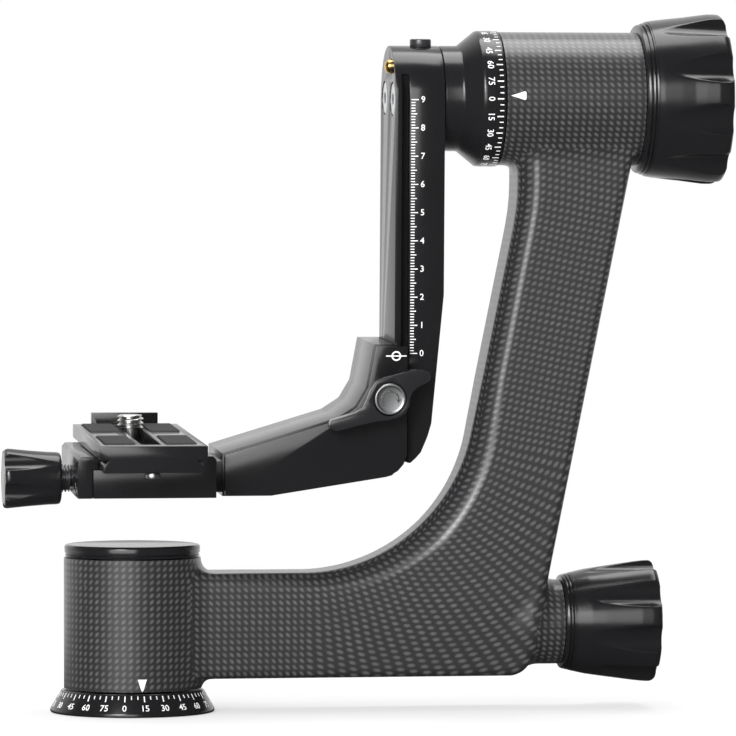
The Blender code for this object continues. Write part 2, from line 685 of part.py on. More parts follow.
def cut_flutes(knob, count, flute_radius, flute_depth, tip, mouth, tip_radius, mouth_radius, centre):
    """Scoops round a knob: leaning cylinders that deepen from their tips to the knob's mouth."""
    shape = bmesh.new()
    for index in range(count):
        angle = FLUTE_PHASE + math.tau * index / count
        outward = Vector((0, -math.cos(angle), -math.sin(angle)))
        start = Vector((tip, *centre)) + outward * (tip_radius + flute_radius)
        end = Vector((mouth, *centre)) + outward * (mouth_radius + flute_radius - flute_depth)
        start -= (end - start).normalized() * OVERRUN
        end += (end - start).normalized() * OVERRUN
        line = end - start
        turn = line.to_track_quat("Z", "X").to_matrix().to_4x4()
        middle = Matrix.Translation((start + end) / 2) @ turn
        bmesh.ops.create_cone(shape, cap_ends=True, cap_tris=False, segments=STEPS_TINY,
                              radius1=flute_radius, radius2=flute_radius, depth=line.length,
                              matrix=middle)
    cut(knob, "flutes", shape, "MANIFOLD")


def build_pan_lock(pan_axis):
    centre = (0, PAN_LOCK_HEIGHT)
    on_axis = (0, 0, PAN_LOCK_HEIGHT)
    bush_start = BOSS_END - BUSH_LENGTH
    piece("pan_knob_bush", ring("X", centre, STEM_RADIUS + STEM_BUSH_GAP, BUSH_RADIUS, bush_start,
                                BOSS_END - SEAT_GAP, STEPS_SMALL), "bronze", pan_axis, on_axis)
    shoe = piece("pan_brake_shoe", rod("X", centre, SHOE_RADIUS, SPINDLE_RADIUS / 2, SHOE_END,
                                       STEPS_SMALL), "friction_plastic", pan_axis, on_axis)
    cut(shoe, "spindle_hollow", rod("Z", (0, 0), SPINDLE_RADIUS + SEAT_GAP,
                                    PAN_LOCK_HEIGHT - 2 * SHOE_RADIUS,
                                    PAN_LOCK_HEIGHT + 2 * SHOE_RADIUS, STEPS_MEDIUM))
    rod_end = bush_start + STEM_RADIUS
    piece("pan_push_rod", rod("X", centre, ROD_RADIUS, SHOE_END + SEAT_GAP, rod_end,
                              STEPS_SMALL), "steel", pan_axis, on_axis)
    knob_start = BOSS_END + SEAT_GAP
    at = (knob_start, 0, PAN_LOCK_HEIGHT)
    stem_end = knob_start + STEM_IN_KNOB
    piece("pan_knob_stem", rod("X", centre, STEM_RADIUS, rod_end + SEAT_GAP, stem_end,
                               STEPS_SMALL), "steel", pan_axis, at)
    knob = piece("pan_knob", knob_shape(knob_start, PAN_KNOB_LENGTH, PAN_KNOB_NOSE_RADIUS,
                                        PAN_KNOB_RADIUS, PAN_KNOB_ROUND, PAN_KNOB_SHARES,
                                        centre, STEPS_LARGE), "black_knob", pan_axis, at)
    cut(knob, "stem_hole", rod("X", centre, STEM_RADIUS + SEAT_GAP, knob_start - OVERRUN,
                               stem_end + SEAT_GAP, STEPS_SMALL))
    cut_flutes(knob, PAN_KNOB_FLUTES, PAN_FLUTE_RADIUS, PAN_FLUTE_DEPTH,
               knob_start + PAN_FLUTE_START, knob_start + PAN_KNOB_LENGTH,
               (PAN_KNOB_NOSE_RADIUS + PAN_KNOB_RADIUS) / 2, PAN_KNOB_RADIUS, centre)


def build_tilt_lock(pan_axis):
    centre = (0, TILT_AXIS_HEIGHT)
    on_axis = (0, 0, TILT_AXIS_HEIGHT)
    for side, low in (("left", TILT_BEARING_LEFT), ("right", TILT_BEARING_RIGHT)):
        piece(f"tilt_bearing_{side}",
              ring("X", centre, TILT_SHAFT_RADIUS + SEAT_GAP, TUBE_BORE_RADIUS - SEAT_GAP,
                   low, low + TILT_BEARING_LENGTH, STEPS_MEDIUM), "steel", pan_axis, on_axis)
    collar_end = TUBE_RIGHT - SEAT_GAP
    collar_start = collar_end - COLLAR_LENGTH
    piece("tilt_end_collar", ring("X", centre, STEM_RADIUS + STEM_BUSH_GAP,
                                  TUBE_BORE_RADIUS - SEAT_GAP, collar_start, collar_end,
                                  STEPS_MEDIUM), "dark_steel", pan_axis, on_axis)
    disc_start = TILT_SHAFT_END + SEAT_GAP
    disc_end = disc_start + BRAKE_DISC
    piece("tilt_brake_disc", rod("X", centre, BRAKE_DISC_RADIUS, disc_start, disc_end,
                                 STEPS_MEDIUM), "friction_plastic", pan_axis, on_axis)
    knob_start = TUBE_RIGHT + SEAT_GAP
    at = (knob_start, 0, TILT_AXIS_HEIGHT)
    stem_end = knob_start + STEM_IN_KNOB
    piece("tilt_knob_stem", rod("X", centre, STEM_RADIUS, disc_end + SEAT_GAP, stem_end,
                                STEPS_SMALL), "steel", pan_axis, at)
    knob = piece("tilt_knob", knob_shape(knob_start, TILT_KNOB_LENGTH, TILT_KNOB_NOSE_RADIUS,
                                         TILT_KNOB_RADIUS, TILT_KNOB_ROUND, TILT_KNOB_SHARES,
                                         centre, STEPS_LARGE), "black_knob", pan_axis, at)
    cut(knob, "stem_hole", rod("X", centre, STEM_RADIUS + SEAT_GAP, knob_start - OVERRUN,
                               stem_end + SEAT_GAP, STEPS_SMALL))
    cut_flutes(knob, TILT_KNOB_FLUTES, TILT_FLUTE_RADIUS, TILT_FLUTE_DEPTH,
               knob_start + TILT_FLUTE_START, knob_start + TILT_KNOB_LENGTH,
               (TILT_KNOB_NOSE_RADIUS + TILT_KNOB_RADIUS) / 2, TILT_KNOB_RADIUS, centre)


def swing_arm_outline():
    """The arm from the side, in Y and height: a stadium with a round top and a square foot."""
    top = arc((0, 0), SWING_HALF_WIDTH, 0, 180, STEPS_SMALL)
    return top + [(-SWING_HALF_WIDTH, SWING_BOTTOM), (SWING_HALF_WIDTH, SWING_BOTTOM)]


def build_hub(swing_axis):
    centre = (0, 0)
    hub_left = SWING_RIGHT + SEAT_GAP
    shaft_seat = HUB_FLARE_END
    outline = [(hub_left, 0), (hub_left, HUB_RADIUS), (HUB_FLARE_START, HUB_RADIUS),
               (HUB_FLARE_END, HUB_FLARE_RADIUS), (HUB_RIGHT, HUB_FLARE_RADIUS),
               (HUB_RIGHT, TILT_SHAFT_RADIUS + SEAT_GAP),
               (shaft_seat, TILT_SHAFT_RADIUS + SEAT_GAP), (shaft_seat, 0)]
    hub = piece("tilt_hub", turned(outline, "X", centre, STEPS_LARGE), "black_anodised", swing_axis)
    flange_start = TILT_SHAFT_END - SHAFT_FLANGE
    outline = [(shaft_seat + SEAT_GAP, 0), (shaft_seat + SEAT_GAP, TILT_SHAFT_RADIUS),
               (flange_start, TILT_SHAFT_RADIUS), (flange_start, SHAFT_FLANGE_RADIUS),
               (TILT_SHAFT_END, SHAFT_FLANGE_RADIUS), (TILT_SHAFT_END, 0)]
    piece("tilt_shaft", turned(outline, "X", centre, STEPS_MEDIUM), "dark_steel", swing_axis)
    return hub


def build_swing_arm(swing_axis, hub):
    arm = piece("swing_arm", prism(swing_arm_outline(), "X", SWING_LEFT, SWING_RIGHT),
                "black_anodised", swing_axis)
    behind = SWING_RIGHT + OVERRUN
    below = SWING_BOTTOM - OVERRUN
    lean_right = SWING_RIGHT - SWING_TAPER
    foot_drop = SWING_TAPER_BOTTOM - SWING_BOTTOM
    taper = [(SWING_RIGHT, SWING_TAPER_TOP), (behind, SWING_TAPER_TOP), (behind, below),
             (lean_right - SWING_FOOT_ROUND, below), (lean_right - SWING_FOOT_ROUND, SWING_BOTTOM)]
    taper += [(lean_right - SWING_FOOT_ROUND * along, SWING_TAPER_BOTTOM - foot_drop * down)
              for along, down in SWING_FOOT_SHARES]
    width = (-SWING_HALF_WIDTH - OVERRUN, SWING_HALF_WIDTH + OVERRUN)
    cut(arm, "taper", prism(taper, "Y", *width))
    groove_left = SWING_LEFT + RAIL_THICKNESS
    for side, name in ((-1, "front"), (1, "rear")):
        edges = sorted((side * RAIL_NECK_HALF_WIDTH, side * (SWING_HALF_WIDTH + OVERRUN)))
        cut(arm, f"groove_{name}", block((groove_left, SCALE_FACE_X), edges, (below, GROOVE_TOP)))
    for side, name in ((-1, "front"), (1, "rear")):
        centre = (side * ARM_BOLT_SPACING / 2, 0)
        at = (SWING_LEFT, *centre)
        piece(f"arm_bolt_{name}", arm_bolt(centre, 0, ARM_BOLT_REACH, SWING_LEFT + SEAT_GAP),
              "silver", swing_axis, at)
        reach = ARM_BOLT_REACH + SEAT_GAP
        sink = arm_bolt(centre, SEAT_GAP, reach, SWING_LEFT - OVERRUN)
        cut(arm, f"bolt_hole_{name}", sink, "MANIFOLD")
        shank = rod("X", centre, ARM_BOLT_RADIUS + SEAT_GAP, SWING_RIGHT - OVERRUN, reach, STEPS_SMALL)
        cut(hub, f"bolt_hole_{name}", shank, "MANIFOLD")
    return arm


def arm_bolt(centre, clearance, reach, face):
    """A countersunk bolt, or with a clearance the hole that it sits in."""
    rim_end = SWING_LEFT + SEAT_GAP + ARM_BOLT_RIM
    cone = ARM_BOLT_HEAD_RADIUS - ARM_BOLT_RADIUS
    slant = clearance * (math.sqrt(2) - 1)
    outline = [(face, 0), (face, ARM_BOLT_HEAD_RADIUS + clearance),
               (rim_end + slant, ARM_BOLT_HEAD_RADIUS + clearance),
               (rim_end + slant + cone, ARM_BOLT_RADIUS + clearance),
               (reach, ARM_BOLT_RADIUS + clearance), (reach, 0)]
    return turned(outline, "X", centre, STEPS_SMALL)


def build_arm_details(swing_axis, arm):
    centre = (STOP_PIN_Y, STOP_PIN_HEIGHT)
    tip = SWING_LEFT - STOP_PIN_PROUD
    back = SWING_LEFT + STOP_PIN_DEPTH
    outline = [(tip, 0), (tip, STOP_PIN_RADIUS / 3), (tip + STOP_PIN_RADIUS / 4, STOP_PIN_RADIUS * 3 / 4),
               (tip + STOP_PIN_RADIUS * 2 / 3, STOP_PIN_RADIUS), (back, STOP_PIN_RADIUS), (back, 0)]
    piece("arm_stop_pin", turned(outline, "X", centre, STEPS_SMALL), "brass", swing_axis,
          (SWING_LEFT, *centre))
    cut(arm, "stop_pin_hole", rod("X", centre, STOP_PIN_RADIUS + SEAT_GAP, SWING_LEFT - OVERRUN,
                                  back + SEAT_GAP, STEPS_SMALL))
    seat = TOP_SCREW_SEAT
    centre = (TOP_SCREW_X, 0)
    flat = seat - SEAT_GAP
    outline = [(seat - TOP_SCREW_DEPTH, 0), (seat - TOP_SCREW_DEPTH, TOP_SCREW_RADIUS),
               (seat, TOP_SCREW_RADIUS), (seat, TOP_SCREW_HEAD_RADIUS),
               (seat + TOP_SCREW_HEAD, TOP_SCREW_HEAD_RADIUS), (seat + TOP_SCREW_HEAD, 0)]
    piece("arm_top_screw", turned(outline, "Z", centre, STEPS_SMALL), "dark_steel", swing_axis,
          (*centre, 0))
    hole = [(flat - TOP_SCREW_DEPTH, 0), (flat - TOP_SCREW_DEPTH, TOP_SCREW_RADIUS + SEAT_GAP),
            (flat, TOP_SCREW_RADIUS + SEAT_GAP), (flat, TOP_SCREW_HEAD_RADIUS + SEAT_GAP),
            (seat + OVERRUN, TOP_SCREW_HEAD_RADIUS + SEAT_GAP), (seat + OVERRUN, 0)]
    cut(arm, "top_screw_hole", turned(hole, "Z", centre, STEPS_SMALL))


def bracket_outline(inset):
    """The angle bracket from the front, in X and height."""
    right = SCALE_FACE_X - CLAW_GAP - inset
    top = BRACKET_TOP - inset
    bottom = BRACKET_BOTTOM + inset
    toe = BRACKET_TOE_X + inset
    side = (BRACKET_SIDE_X + inset, BRACKET_SIDE_HEIGHT)
    elbow = (BRACKET_ELBOW_X + inset, BRACKET_ELBOW_HEIGHT - inset)
    toe_top = (toe, BRACKET_TOE_TOP - inset)
    heel = (BRACKET_HEEL_X, BRACKET_HEEL_HEIGHT + inset)
    slope = (heel[1] - bottom) / (heel[0] - BRACKET_FLAT_X)
    corner = (right, heel[1] + slope * (right - heel[0]))
    outline = [(toe, bottom), (BRACKET_FLAT_X, bottom)]
    outline += rounded_corner((BRACKET_FLAT_X, bottom), corner, (right, top), BRACKET_HEEL_ROUND, 5)
    outline += [(right, top), (BRACKET_TOP_X + inset, top), side]
    bulge = (side[0] - elbow[0]) * ELBOW_BULGE_SHARE
    middle = ((side[0] + elbow[0]) / 2 + bulge, (side[1] + elbow[1]) / 2 - bulge)
    outline += [middle, elbow, toe_top]
    return outline


def rail_clearance(low, high):
    """The space that the arm's rail and neck need in the bracket, as a prism along the height."""
    right = SCALE_FACE_X + OVERRUN
    inner = SWING_LEFT - CLAW_GAP
    claw_left = SWING_LEFT + RAIL_THICKNESS + CLAW_GAP
    wall = SWING_HALF_WIDTH + CLAW_GAP
    neck = RAIL_NECK_HALF_WIDTH + CLAW_GAP
    front = BRACKET_FRONT - OVERRUN
    outline = [(inner, front), (right, front), (right, neck), (claw_left, neck),
               (claw_left, wall), (inner, wall)]
    return prism(outline, "Z", low, high)


def build_bracket(swing_axis):
    bracket = piece("bracket", prism(bracket_outline(0), "Y", BRACKET_SEAM, BRACKET_HALF_WIDTH),
                    "black_anodised", swing_axis)
    low, high = BRACKET_BOTTOM - OVERRUN, BRACKET_TOP + OVERRUN
    cut(bracket, "rail_channel", rail_clearance(low, high))
    join(bracket, "neck", block((BRACKET_TOE_X - NECK_LENGTH, BRACKET_TOE_X + OVERRUN),
                                (-NECK_HALF_WIDTH, NECK_HALF_WIDTH), (NECK_BOTTOM, NECK_TOP)))
    plate_back = BRACKET_SEAM - SEAT_GAP
    side_plate = piece("bracket_side_plate",
                       prism(bracket_outline(SIDE_PLATE_INSET), "Y", BRACKET_FRONT, plate_back),
                       "black_anodised", swing_axis)
    claw_left = SWING_LEFT + RAIL_THICKNESS + CLAW_GAP
    claw_right = SCALE_FACE_X - CLAW_GAP - SIDE_PLATE_INSET
    claw_low = BRACKET_HEEL_HEIGHT + BRACKET_HEEL_ROUND
    join(side_plate, "claw", block((claw_left, claw_right),
                                   (plate_back - OVERRUN, -RAIL_NECK_HALF_WIDTH - CLAW_GAP),
                                   (claw_low, BRACKET_TOP - SIDE_PLATE_INSET)))
    spots = {"1": (BRACKET_TOE_X + NECK_LENGTH * 2, (BRACKET_TOE_TOP + BRACKET_BOTTOM) / 2),
             "2": (BRACKET_ELBOW_X, (BRACKET_ELBOW_HEIGHT + BRACKET_BOTTOM) / 2)}
    for name, centre in spots.items():
        start = BRACKET_FRONT + DOWEL_COVER
        end = start + DOWEL_LENGTH
        piece(f"side_plate_dowel_{name}",
              rod("Y", centre, DOWEL_RADIUS, start, end, STEPS_TINY), "dark_steel",
              swing_axis, (centre[0], 0, centre[1]))
        hole = DOWEL_RADIUS + SEAT_GAP
        for target in (bracket, side_plate):
            cut(target, f"dowel_hole_{name}",
                rod("Y", centre, hole, start - SEAT_GAP, end + SEAT_GAP, STEPS_TINY))
    return bracket, side_plate


def build_lever(swing_axis, bracket, side_plate):
    centre = (LEVER_X, LEVER_HEIGHT)
    at = (LEVER_X, 0, LEVER_HEIGHT)
    back = BRACKET_FRONT - LEVER_STAND_OFF
    front = back - LEVER_THICKNESS
    outline = [(LEVER_X + x * LEVER_REACH, LEVER_HEIGHT + z * LEVER_REACH)
               for x, z in LEVER_OUTLINE_SHARES]
    lever = piece("lock_lever", prism(outline, "Y", front, back), "black_anodised", swing_axis, at)
    pocket_radius = BUTTON_RADIUS + SEAT_GAP
    pocket_floor = front + POCKET_DEPTH
    cut(lever, "button_pocket", rod("Y", centre, pocket_radius, front - OVERRUN, pocket_floor,
                                    STEPS_MEDIUM))
    cut(lever, "stud_hole", rod("Y", centre, STUD_RADIUS + STUD_CLEARANCE, pocket_floor - OVERRUN,
                                back + OVERRUN, STEPS_SMALL))
    stud_back = BRACKET_FRONT + STUD_DEPTH
    piece("lever_stud", rod("Y", centre, STUD_RADIUS, pocket_floor, stud_back, STEPS_SMALL),
          "steel", swing_axis, at)
    for target in (bracket, side_plate):
        cut(target, "stud_hole", rod("Y", centre, STUD_RADIUS + STUD_CLEARANCE,
                                     BRACKET_FRONT - OVERRUN, stud_back + SEAT_GAP, STEPS_SMALL))
    face = front - BUTTON_PROUD
    inner_radius = BUTTON_RADIUS - BUTTON_WALL
    ceiling = face + BUTTON_FACE
    outline = [(face, 0), (face, BUTTON_RADIUS), (face + BUTTON_HEIGHT, BUTTON_RADIUS),
               (face + BUTTON_HEIGHT, inner_radius), (ceiling, inner_radius), (ceiling, 0)]
    piece("lever_button", turned(outline, "Y", centre, STEPS_MEDIUM), "silver", swing_axis, at)
    spring_back = pocket_floor - SEAT_GAP
    piece("lever_spring", ring("Y", centre, SPRING_BORE_RADIUS, inner_radius - SEAT_GAP,
                               spring_back - SPRING_LENGTH, spring_back, STEPS_SMALL),
          "steel", swing_axis, at)


def dovetail_heights():
    """Heights of the plate's slab underside, its neck, the flare's edge and its foot."""
    slab = PLATE_TOP - SLAB_THICKNESS
    flare = slab - (DOVETAIL_HALF_WIDTH - DOVETAIL_NECK_HALF_WIDTH)
    return slab, flare, flare - DOVETAIL_FOOT


def jaw_profile(side, outer, chamfer_height):
    """A clamping jaw's section in X and height; side is -1 on the left and 1 on the right."""
    slab, flare = dovetail_heights()[:2]
    neck_x = PLATFORM_X + side * (DOVETAIL_NECK_HALF_WIDTH + 2 * SEAT_GAP)
    flare_x = PLATFORM_X + side * (DOVETAIL_HALF_WIDTH + SEAT_GAP)
    top = slab - SEAT_GAP
    return [(flare_x, CLAMP_FLOOR + SEAT_GAP), (flare_x, flare), (neck_x, top - SEAT_GAP),
            (neck_x, top), (outer - side * chamfer_height, top), (outer, top - chamfer_height)]


def build_clamp_base(swing_axis, bracket):
    length = (-CLAMP_HALF_LENGTH, CLAMP_HALF_LENGTH)
    section = [(CLAMP_LEFT, CLAMP_BOTTOM), (CLAMP_LEFT, CLAMP_FLOOR)]
    right_jaw = jaw_profile(1, CLAMP_RIGHT, JAW_TOP_CHAMFER)
    section += [(right_jaw[0][0], CLAMP_FLOOR)] + right_jaw[1:] + [(CLAMP_RIGHT, CLAMP_BOTTOM)]
    base = piece("clamp_base", prism(section, "Y", *length), "black_anodised", swing_axis)
    for side, name in ((-1, "front"), (1, "rear")):
        centre = (side * CLAMP_BOLT_SPACING / 2, CLAMP_AXIS_HEIGHT)
        head_end = CLAMP_LEFT + SEAT_GAP + CLAMP_BOLT_HEAD
        outline = [(CLAMP_LEFT + SEAT_GAP, 0), (CLAMP_LEFT + SEAT_GAP, CLAMP_BOLT_HEAD_RADIUS),
                   (head_end, CLAMP_BOLT_HEAD_RADIUS), (head_end, CLAMP_BOLT_RADIUS),
                   (CLAMP_BOLT_REACH, CLAMP_BOLT_RADIUS), (CLAMP_BOLT_REACH, 0)]
        piece(f"clamp_bolt_{name}", turned(outline, "X", centre, STEPS_TINY), "dark_steel",
              swing_axis, (0, *centre))
        hole = [(CLAMP_LEFT - OVERRUN, 0), (CLAMP_LEFT - OVERRUN, CLAMP_BOLT_HEAD_RADIUS + SEAT_GAP),
                (head_end + SEAT_GAP, CLAMP_BOLT_HEAD_RADIUS + SEAT_GAP),
                (head_end + SEAT_GAP, CLAMP_BOLT_RADIUS + SEAT_GAP),
                (CLAMP_BOLT_REACH + SEAT_GAP, CLAMP_BOLT_RADIUS + SEAT_GAP),
                (CLAMP_BOLT_REACH + SEAT_GAP, 0)]
        cut(base, f"bolt_hole_{name}", turned(hole, "X", centre, STEPS_TINY))
        cut(bracket, f"bolt_hole_{name}", turned(hole, "X", centre, STEPS_TINY))
    return base


def build_jaw_and_knob(swing_axis, base):
    axis = (0, CLAMP_AXIS_HEIGHT)
    at = (JAW_LEFT, 0, CLAMP_AXIS_HEIGHT)
    length = (-CLAMP_HALF_LENGTH, CLAMP_HALF_LENGTH)
    inner = CLAMP_LEFT - SEAT_GAP
    section = [(JAW_LEFT, CLAMP_BOTTOM), (inner, CLAMP_BOTTOM), (inner, CLAMP_FLOOR + SEAT_GAP)]
    section += jaw_profile(-1, JAW_LEFT, JAW_TOP_CHAMFER)
    jaw = piece("clamp_jaw", prism(section, "Y", *length), "black_anodised", swing_axis, at)
    screw_right = CLAMP_SCREW_RIGHT
    collar_right = JAW_LEFT - SEAT_GAP
    outline = [(CLAMP_KNOB_RIGHT + SEAT_GAP, 0), (CLAMP_KNOB_RIGHT + SEAT_GAP, CLAMP_NECK_RADIUS),
               (collar_right, CLAMP_NECK_RADIUS), (collar_right, CLAMP_SCREW_RADIUS),
               (screw_right, CLAMP_SCREW_RADIUS), (screw_right, 0)]
    piece("clamp_screw", turned(outline, "X", axis, STEPS_SMALL), "dark_steel", swing_axis, at)
    clear = CLAMP_SCREW_RADIUS + SEAT_GAP
    cut(jaw, "screw_hole", rod("X", axis, clear, JAW_LEFT - OVERRUN, inner + OVERRUN, STEPS_SMALL))
    cut(base, "screw_hole", rod("X", axis, clear, CLAMP_LEFT - OVERRUN, screw_right + SEAT_GAP,
                                STEPS_SMALL))
    outline = [(CLAMP_KNOB_LEFT, 0), (CLAMP_KNOB_LEFT, CLAMP_KNOB_RADIUS - CLAMP_KNOB_ROUND),
               (CLAMP_KNOB_LEFT + CLAMP_KNOB_ROUND, CLAMP_KNOB_RADIUS),
               (CLAMP_KNOB_RIGHT - CLAMP_KNOB_ROUND, CLAMP_KNOB_SMALL_RADIUS),
               (CLAMP_KNOB_RIGHT, CLAMP_KNOB_SMALL_RADIUS - CLAMP_KNOB_ROUND),
               (CLAMP_KNOB_RIGHT, 0)]
    knob = piece("clamp_knob", turned(outline, "X", axis, STEPS_MEDIUM), "black_knob",
                 swing_axis, at)
    cut_flutes(knob, CLAMP_KNOB_FLUTES, CLAMP_FLUTE_RADIUS, CLAMP_FLUTE_DEPTH,
               CLAMP_KNOB_RIGHT - CLAMP_FLUTE_START, CLAMP_KNOB_LEFT,
               CLAMP_KNOB_SMALL_RADIUS, CLAMP_KNOB_RADIUS, axis)
    for side, name in ((-1, "front"), (1, "rear")):
        centre = (side * PIN_SPACING / 2, CLAMP_AXIS_HEIGHT)
        piece(f"guide_pin_{name}", rod("X", centre, PIN_RADIUS, JAW_LEFT + SEAT_GAP, PIN_RIGHT,
                                       STEPS_TINY), "steel", swing_axis, (0, *centre))
        clear = PIN_RADIUS + SEAT_GAP
        cut(jaw, f"pin_hole_{name}", rod("X", centre, clear, JAW_LEFT - OVERRUN, inner + OVERRUN,
                                         STEPS_TINY))
        cut(base, f"pin_hole_{name}", rod("X", centre, clear, CLAMP_LEFT - OVERRUN,
                                          PIN_RIGHT + SEAT_GAP, STEPS_TINY))


def build_plate(swing_axis):
    slab, flare, foot = dovetail_heights()
    half = [(PLATE_HALF_WIDTH, PLATE_TOP), (PLATE_HALF_WIDTH, slab),
            (DOVETAIL_NECK_HALF_WIDTH, slab), (DOVETAIL_HALF_WIDTH, flare),
            (DOVETAIL_HALF_WIDTH, foot)]
    section = [(PLATFORM_X + x, z) for x, z in half]
    section += [(PLATFORM_X - x, z) for x, z in reversed(half)]
    at = (PLATFORM_X, 0, PLATE_TOP)
    plate = piece("quick_plate", prism(section, "Y", -PLATE_HALF_LENGTH, PLATE_HALF_LENGTH),
                  "black_anodised", swing_axis, at)
    span = (-SLOT_NEAR, SLOT_FAR)
    cut(plate, "slot", block((PLATFORM_X - SLOT_HALF_WIDTH, PLATFORM_X + SLOT_HALF_WIDTH), span,
                             (foot - OVERRUN, PLATE_TOP + OVERRUN)))
    keyhole_y = SLOT_NEAR - KEYHOLE_RADIUS
    cut(plate, "channel", block((PLATFORM_X - CHANNEL_HALF_WIDTH, PLATFORM_X + CHANNEL_HALF_WIDTH),
                                (-SLOT_NEAR + CHANNEL_MARGIN, SLOT_NEAR - CHANNEL_MARGIN),
                                (foot - OVERRUN, foot + CHANNEL_DEPTH)))
    cut(plate, "keyhole", rod("Z", (PLATFORM_X, keyhole_y), KEYHOLE_RADIUS, foot - OVERRUN,
                              PLATE_TOP + OVERRUN, STEPS_SMALL))
    build_pads(swing_axis, plate)
    build_lip(swing_axis, plate)
    build_stop_screws(swing_axis, plate, foot)
    build_camera_screw(swing_axis, foot)


def build_pads(swing_axis, plate):
    rows = (("front", PAD_NEAR_CENTRE), ("rear", PAD_FAR_CENTRE))
    columns = (("left", -PAD_CENTRE_X), ("right", PAD_CENTRE_X))
    for row, y in rows:
        for column, x in columns:
            spread_x = (PLATFORM_X + x - PAD_WIDTH / 2, PLATFORM_X + x + PAD_WIDTH / 2)
            spread_y = (y - PAD_LENGTH / 2, y + PAD_LENGTH / 2)
            floor = PLATE_TOP - PAD_RECESS
            piece(f"pad_{row}_{column}", block(spread_x, spread_y, (floor, floor + PAD_THICKNESS)),
                  "rubber", swing_axis, (PLATFORM_X, 0, PLATE_TOP))
            pocket_x = (spread_x[0] - SEAT_GAP, spread_x[1] + SEAT_GAP)
            pocket_y = (spread_y[0] - SEAT_GAP, spread_y[1] + SEAT_GAP)
            cut(plate, f"pocket_{row}_{column}",
                block(pocket_x, pocket_y, (floor - SEAT_GAP, PLATE_TOP + OVERRUN)))


def build_lip(swing_axis, plate):
    start = PLATE_HALF_LENGTH + SEAT_GAP
    end = start + LIP_THICKNESS
    at = (PLATFORM_X, 0, PLATE_TOP)
    lip = piece("plate_lip", block((PLATFORM_X - LIP_HALF_WIDTH, PLATFORM_X + LIP_HALF_WIDTH),
                                   (start, end), (PLATE_TOP - LIP_DROP, PLATE_TOP + LIP_RISE)),
                "black_anodised", swing_axis, at)
    screw_height = PLATE_TOP - LIP_SCREW_DROP
    hole_radius = LIP_SCREW_RADIUS + SEAT_GAP
    sink_radius = LIP_SCREW_HEAD_RADIUS + SEAT_GAP
    for side, name in ((-1, "left"), (1, "right")):
        centre = (PLATFORM_X + side * LIP_SCREW_SPACING / 2, screw_height)
        head = end - LIP_SCREW_HEAD
        tip = PLATE_HALF_LENGTH - LIP_SCREW_DEPTH
        outline = [(tip, 0), (tip, LIP_SCREW_RADIUS), (head, LIP_SCREW_RADIUS),
                   (head, LIP_SCREW_HEAD_RADIUS), (end - SEAT_GAP, LIP_SCREW_HEAD_RADIUS),
                   (end - SEAT_GAP, 0)]
        piece(f"lip_screw_{name}", turned(outline, "Y", centre, STEPS_TINY), "steel", swing_axis, at)
        hole = [(tip - SEAT_GAP, 0), (tip - SEAT_GAP, hole_radius), (head - SEAT_GAP, hole_radius),
                (head - SEAT_GAP, sink_radius), (end + OVERRUN, sink_radius), (end + OVERRUN, 0)]
        cut(lip, f"screw_hole_{name}", turned(hole, "Y", centre, STEPS_TINY))
        cut(plate, f"lip_screw_hole_{name}", turned(hole, "Y", centre, STEPS_TINY))


def build_stop_screws(swing_axis, plate, foot):
    for side, name in ((-1, "front"), (1, "rear")):
        centre = (PLATFORM_X, side * (PLATE_HALF_LENGTH - STOP_SCREW_MARGIN))
        under = foot - SEAT_GAP
        top = foot + STOP_SCREW_DEPTH
        outline = [(under - STOP_SCREW_HEAD, 0), (under - STOP_SCREW_HEAD, STOP_SCREW_HEAD_RADIUS),
                   (under, STOP_SCREW_HEAD_RADIUS), (under, STOP_SCREW_RADIUS),
                   (top, STOP_SCREW_RADIUS), (top, 0)]
        piece(f"stop_screw_{name}", turned(outline, "Z", centre, STEPS_SMALL), "silver", swing_axis,
              (PLATFORM_X, 0, PLATE_TOP))
        cut(plate, f"stop_hole_{name}", rod("Z", centre, STOP_SCREW_RADIUS + SEAT_GAP,
                                            foot - OVERRUN, top + SEAT_GAP, STEPS_TINY))


def build_camera_screw(swing_axis, foot):
    centre = (PLATFORM_X, CAMERA_SCREW_Y)
    at = (PLATFORM_X, CAMERA_SCREW_Y, PLATE_TOP)
    channel_top = foot + CHANNEL_DEPTH
    washer_top = channel_top - SEAT_GAP
    washer_low = washer_top - WASHER_THICKNESS
    piece("screw_washer", ring("Z", centre, CAMERA_SCREW_NECK_RADIUS + SEAT_GAP,
                               CAMERA_SCREW_HEAD_RADIUS, washer_low, washer_top, STEPS_SMALL),
          "steel", swing_axis, at)
    head_top = washer_low - SEAT_GAP
    thread_low = PLATE_TOP + SEAT_GAP
    outline = [(head_top - CAMERA_SCREW_HEAD, 0),
               (head_top - CAMERA_SCREW_HEAD, CAMERA_SCREW_HEAD_RADIUS),
               (head_top, CAMERA_SCREW_HEAD_RADIUS), (head_top, CAMERA_SCREW_NECK_RADIUS),
               (thread_low, CAMERA_SCREW_NECK_RADIUS), (thread_low, CAMERA_SCREW_RADIUS),
               (PLATE_TOP + CAMERA_SCREW_RISE, CAMERA_SCREW_RADIUS),
               (PLATE_TOP + CAMERA_SCREW_RISE, 0)]
    piece("camera_screw", turned(outline, "Z", centre, STEPS_SMALL), "steel", swing_axis, at)


